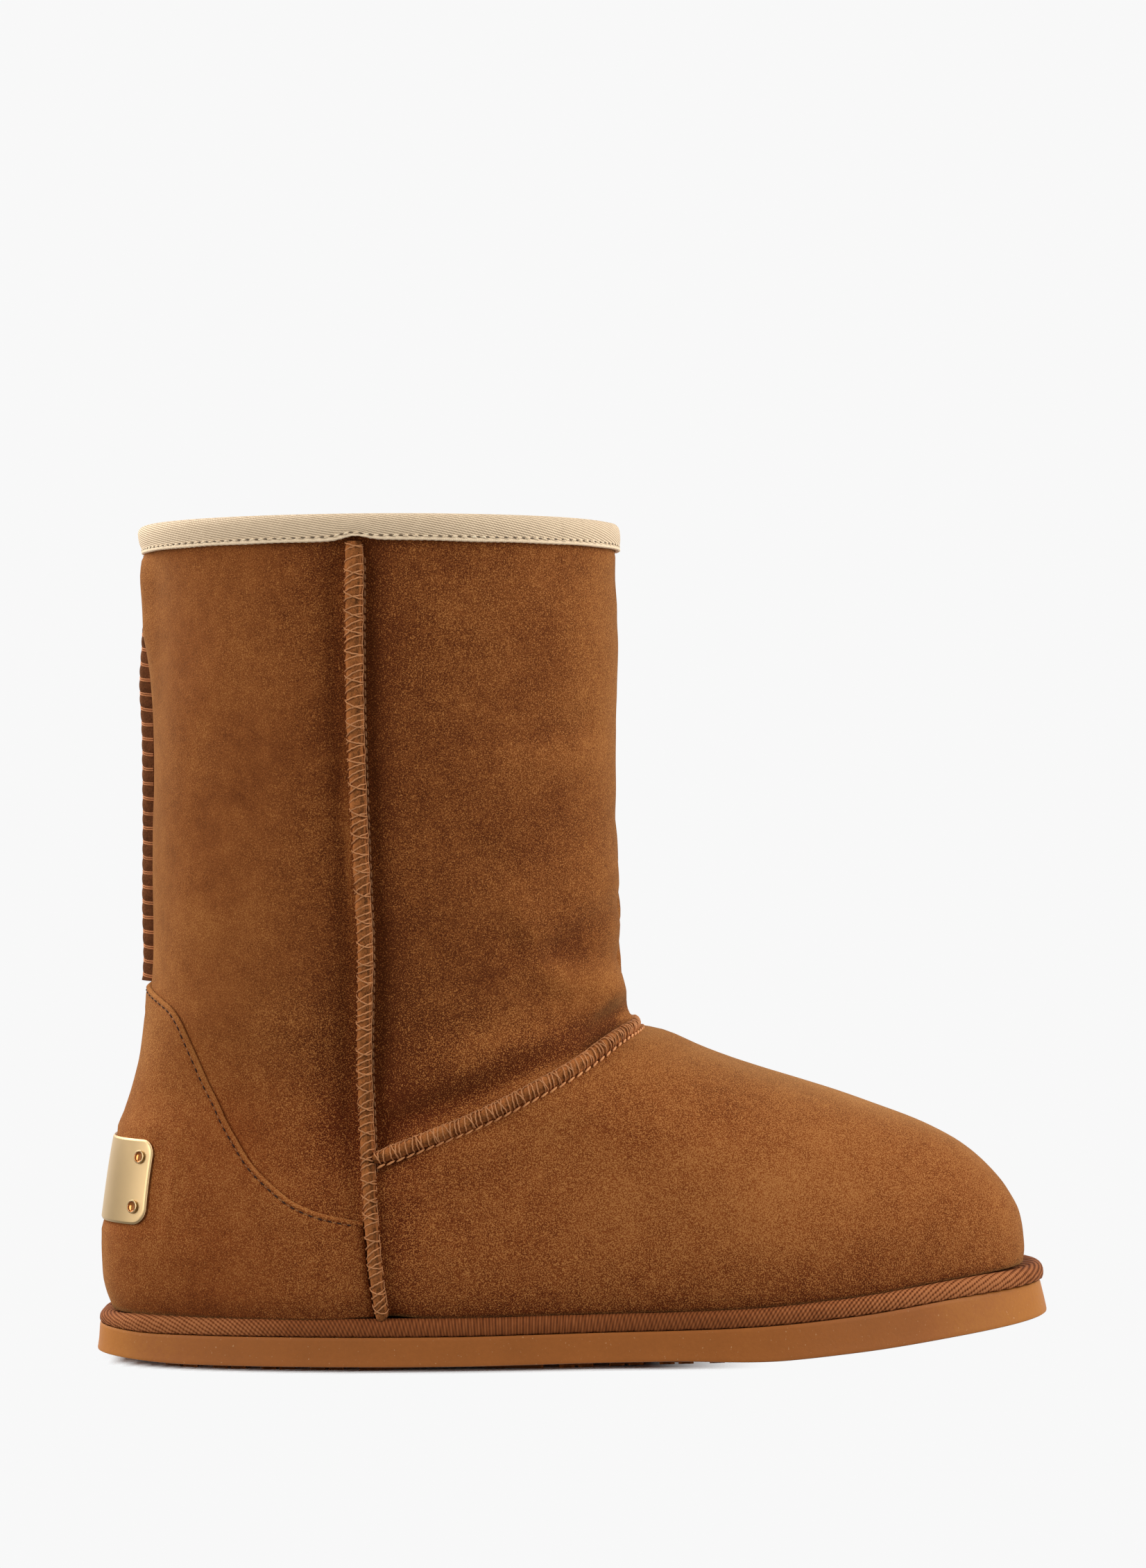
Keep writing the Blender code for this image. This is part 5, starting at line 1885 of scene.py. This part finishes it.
class BOOT_OT_counter(BootOperator, bpy.types.Operator):
    """Models the heel counter and its stitching"""

    bl_idname = "boot.counter"
    bl_label = "Heel counter"

    def execute(self, context):
        sizes, paints = self.given(context)
        make_counter(sizes, paints["suede"])
        make_counter_stitches(sizes, paints["counter_thread"], paints["hole"])
        return {"FINISHED"}


class BOOT_OT_seams(BootOperator, bpy.types.Operator):
    """Models the raised seams and their threads"""

    bl_idname = "boot.seams"
    bl_label = "Raised seams"

    def execute(self, context):
        sizes, paints = self.given(context)
        make_side_seam(sizes, -1, paints)
        make_side_seam(sizes, 1, paints)
        make_vamp_seam(sizes, paints)
        make_back_seam(sizes, paints)
        return {"FINISHED"}


class BOOT_OT_binding(BootOperator, bpy.types.Operator):
    """Models the twill tape folded over the collar"""

    bl_idname = "boot.binding"
    bl_label = "Collar tape"

    def execute(self, context):
        sizes, paints = self.given(context)
        make_binding(paints["cream"])
        make_binding_stitches(sizes, paints["cream_thread"], paints["cream_hole"])
        return {"FINISHED"}


class BOOT_OT_sole(BootOperator, bpy.types.Operator):
    """Models the taped rand and the gum sole"""

    bl_idname = "boot.sole"
    bl_label = "Sole"

    def execute(self, context):
        _, paints = self.given(context)
        make_rand(paints["brown"])
        make_sole(paints["gum"])
        return {"FINISHED"}


class BOOT_OT_plate(BootOperator, bpy.types.Operator):
    """Models the bare metal heel plate and its rivets"""

    bl_idname = "boot.plate"
    bl_label = "Heel plate"

    def execute(self, context):
        sizes, paints = self.given(context)
        make_plate(sizes, paints)
        return {"FINISHED"}


class BOOT_OT_stage(BootOperator, bpy.types.Operator):
    """Sets the floor, the lamps and the camera"""

    bl_idname = "boot.stage"
    bl_label = "Stage"

    def execute(self, context):
        make_stage(context.scene.boot_colours)
        return {"FINISHED"}


OPERATORS = (
    BOOT_OT_upper, BOOT_OT_lining, BOOT_OT_counter, BOOT_OT_seams, BOOT_OT_binding,
    BOOT_OT_sole, BOOT_OT_plate, BOOT_OT_stage,
)


class BOOT_PT_panel(bpy.types.Panel):
    """Lists the boot's operators, sizes and colours"""

    bl_idname = "BOOT_PT_panel"
    bl_label = "Suede ankle boot"
    bl_space_type = "VIEW_3D"
    bl_region_type = "UI"
    bl_category = "Boot"

    def draw(self, context):
        for operator in OPERATORS:
            self.layout.operator(operator.bl_idname)
        for group in (context.scene.boot_sizes, context.scene.boot_colours):
            for name in group.bl_rna.properties.keys():
                if name not in ("rna_type", "name"):
                    self.layout.prop(group, name)


CLASSES = (BootSizes, BootColours, *OPERATORS, BOOT_PT_panel)


def register():
    for item in CLASSES:
        bpy.utils.register_class(item)
    bpy.types.Scene.boot_sizes = bpy.props.PointerProperty(type=BootSizes)
    bpy.types.Scene.boot_colours = bpy.props.PointerProperty(type=BootColours)


def unregister():
    del bpy.types.Scene.boot_colours
    del bpy.types.Scene.boot_sizes
    for item in reversed(CLASSES):
        bpy.utils.unregister_class(item)


def main():
    register()
    bpy.ops.boot.upper()
    bpy.ops.boot.lining()
    bpy.ops.boot.counter()
    bpy.ops.boot.seams()
    bpy.ops.boot.binding()
    bpy.ops.boot.sole()
    bpy.ops.boot.plate()
    bpy.ops.boot.stage()
    boxes = {"cad": cad_box, "visual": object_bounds()}
    {name: [list(corner) for corner in box] for name, box in boxes.items()}


if __name__ == "__main__":
    main()
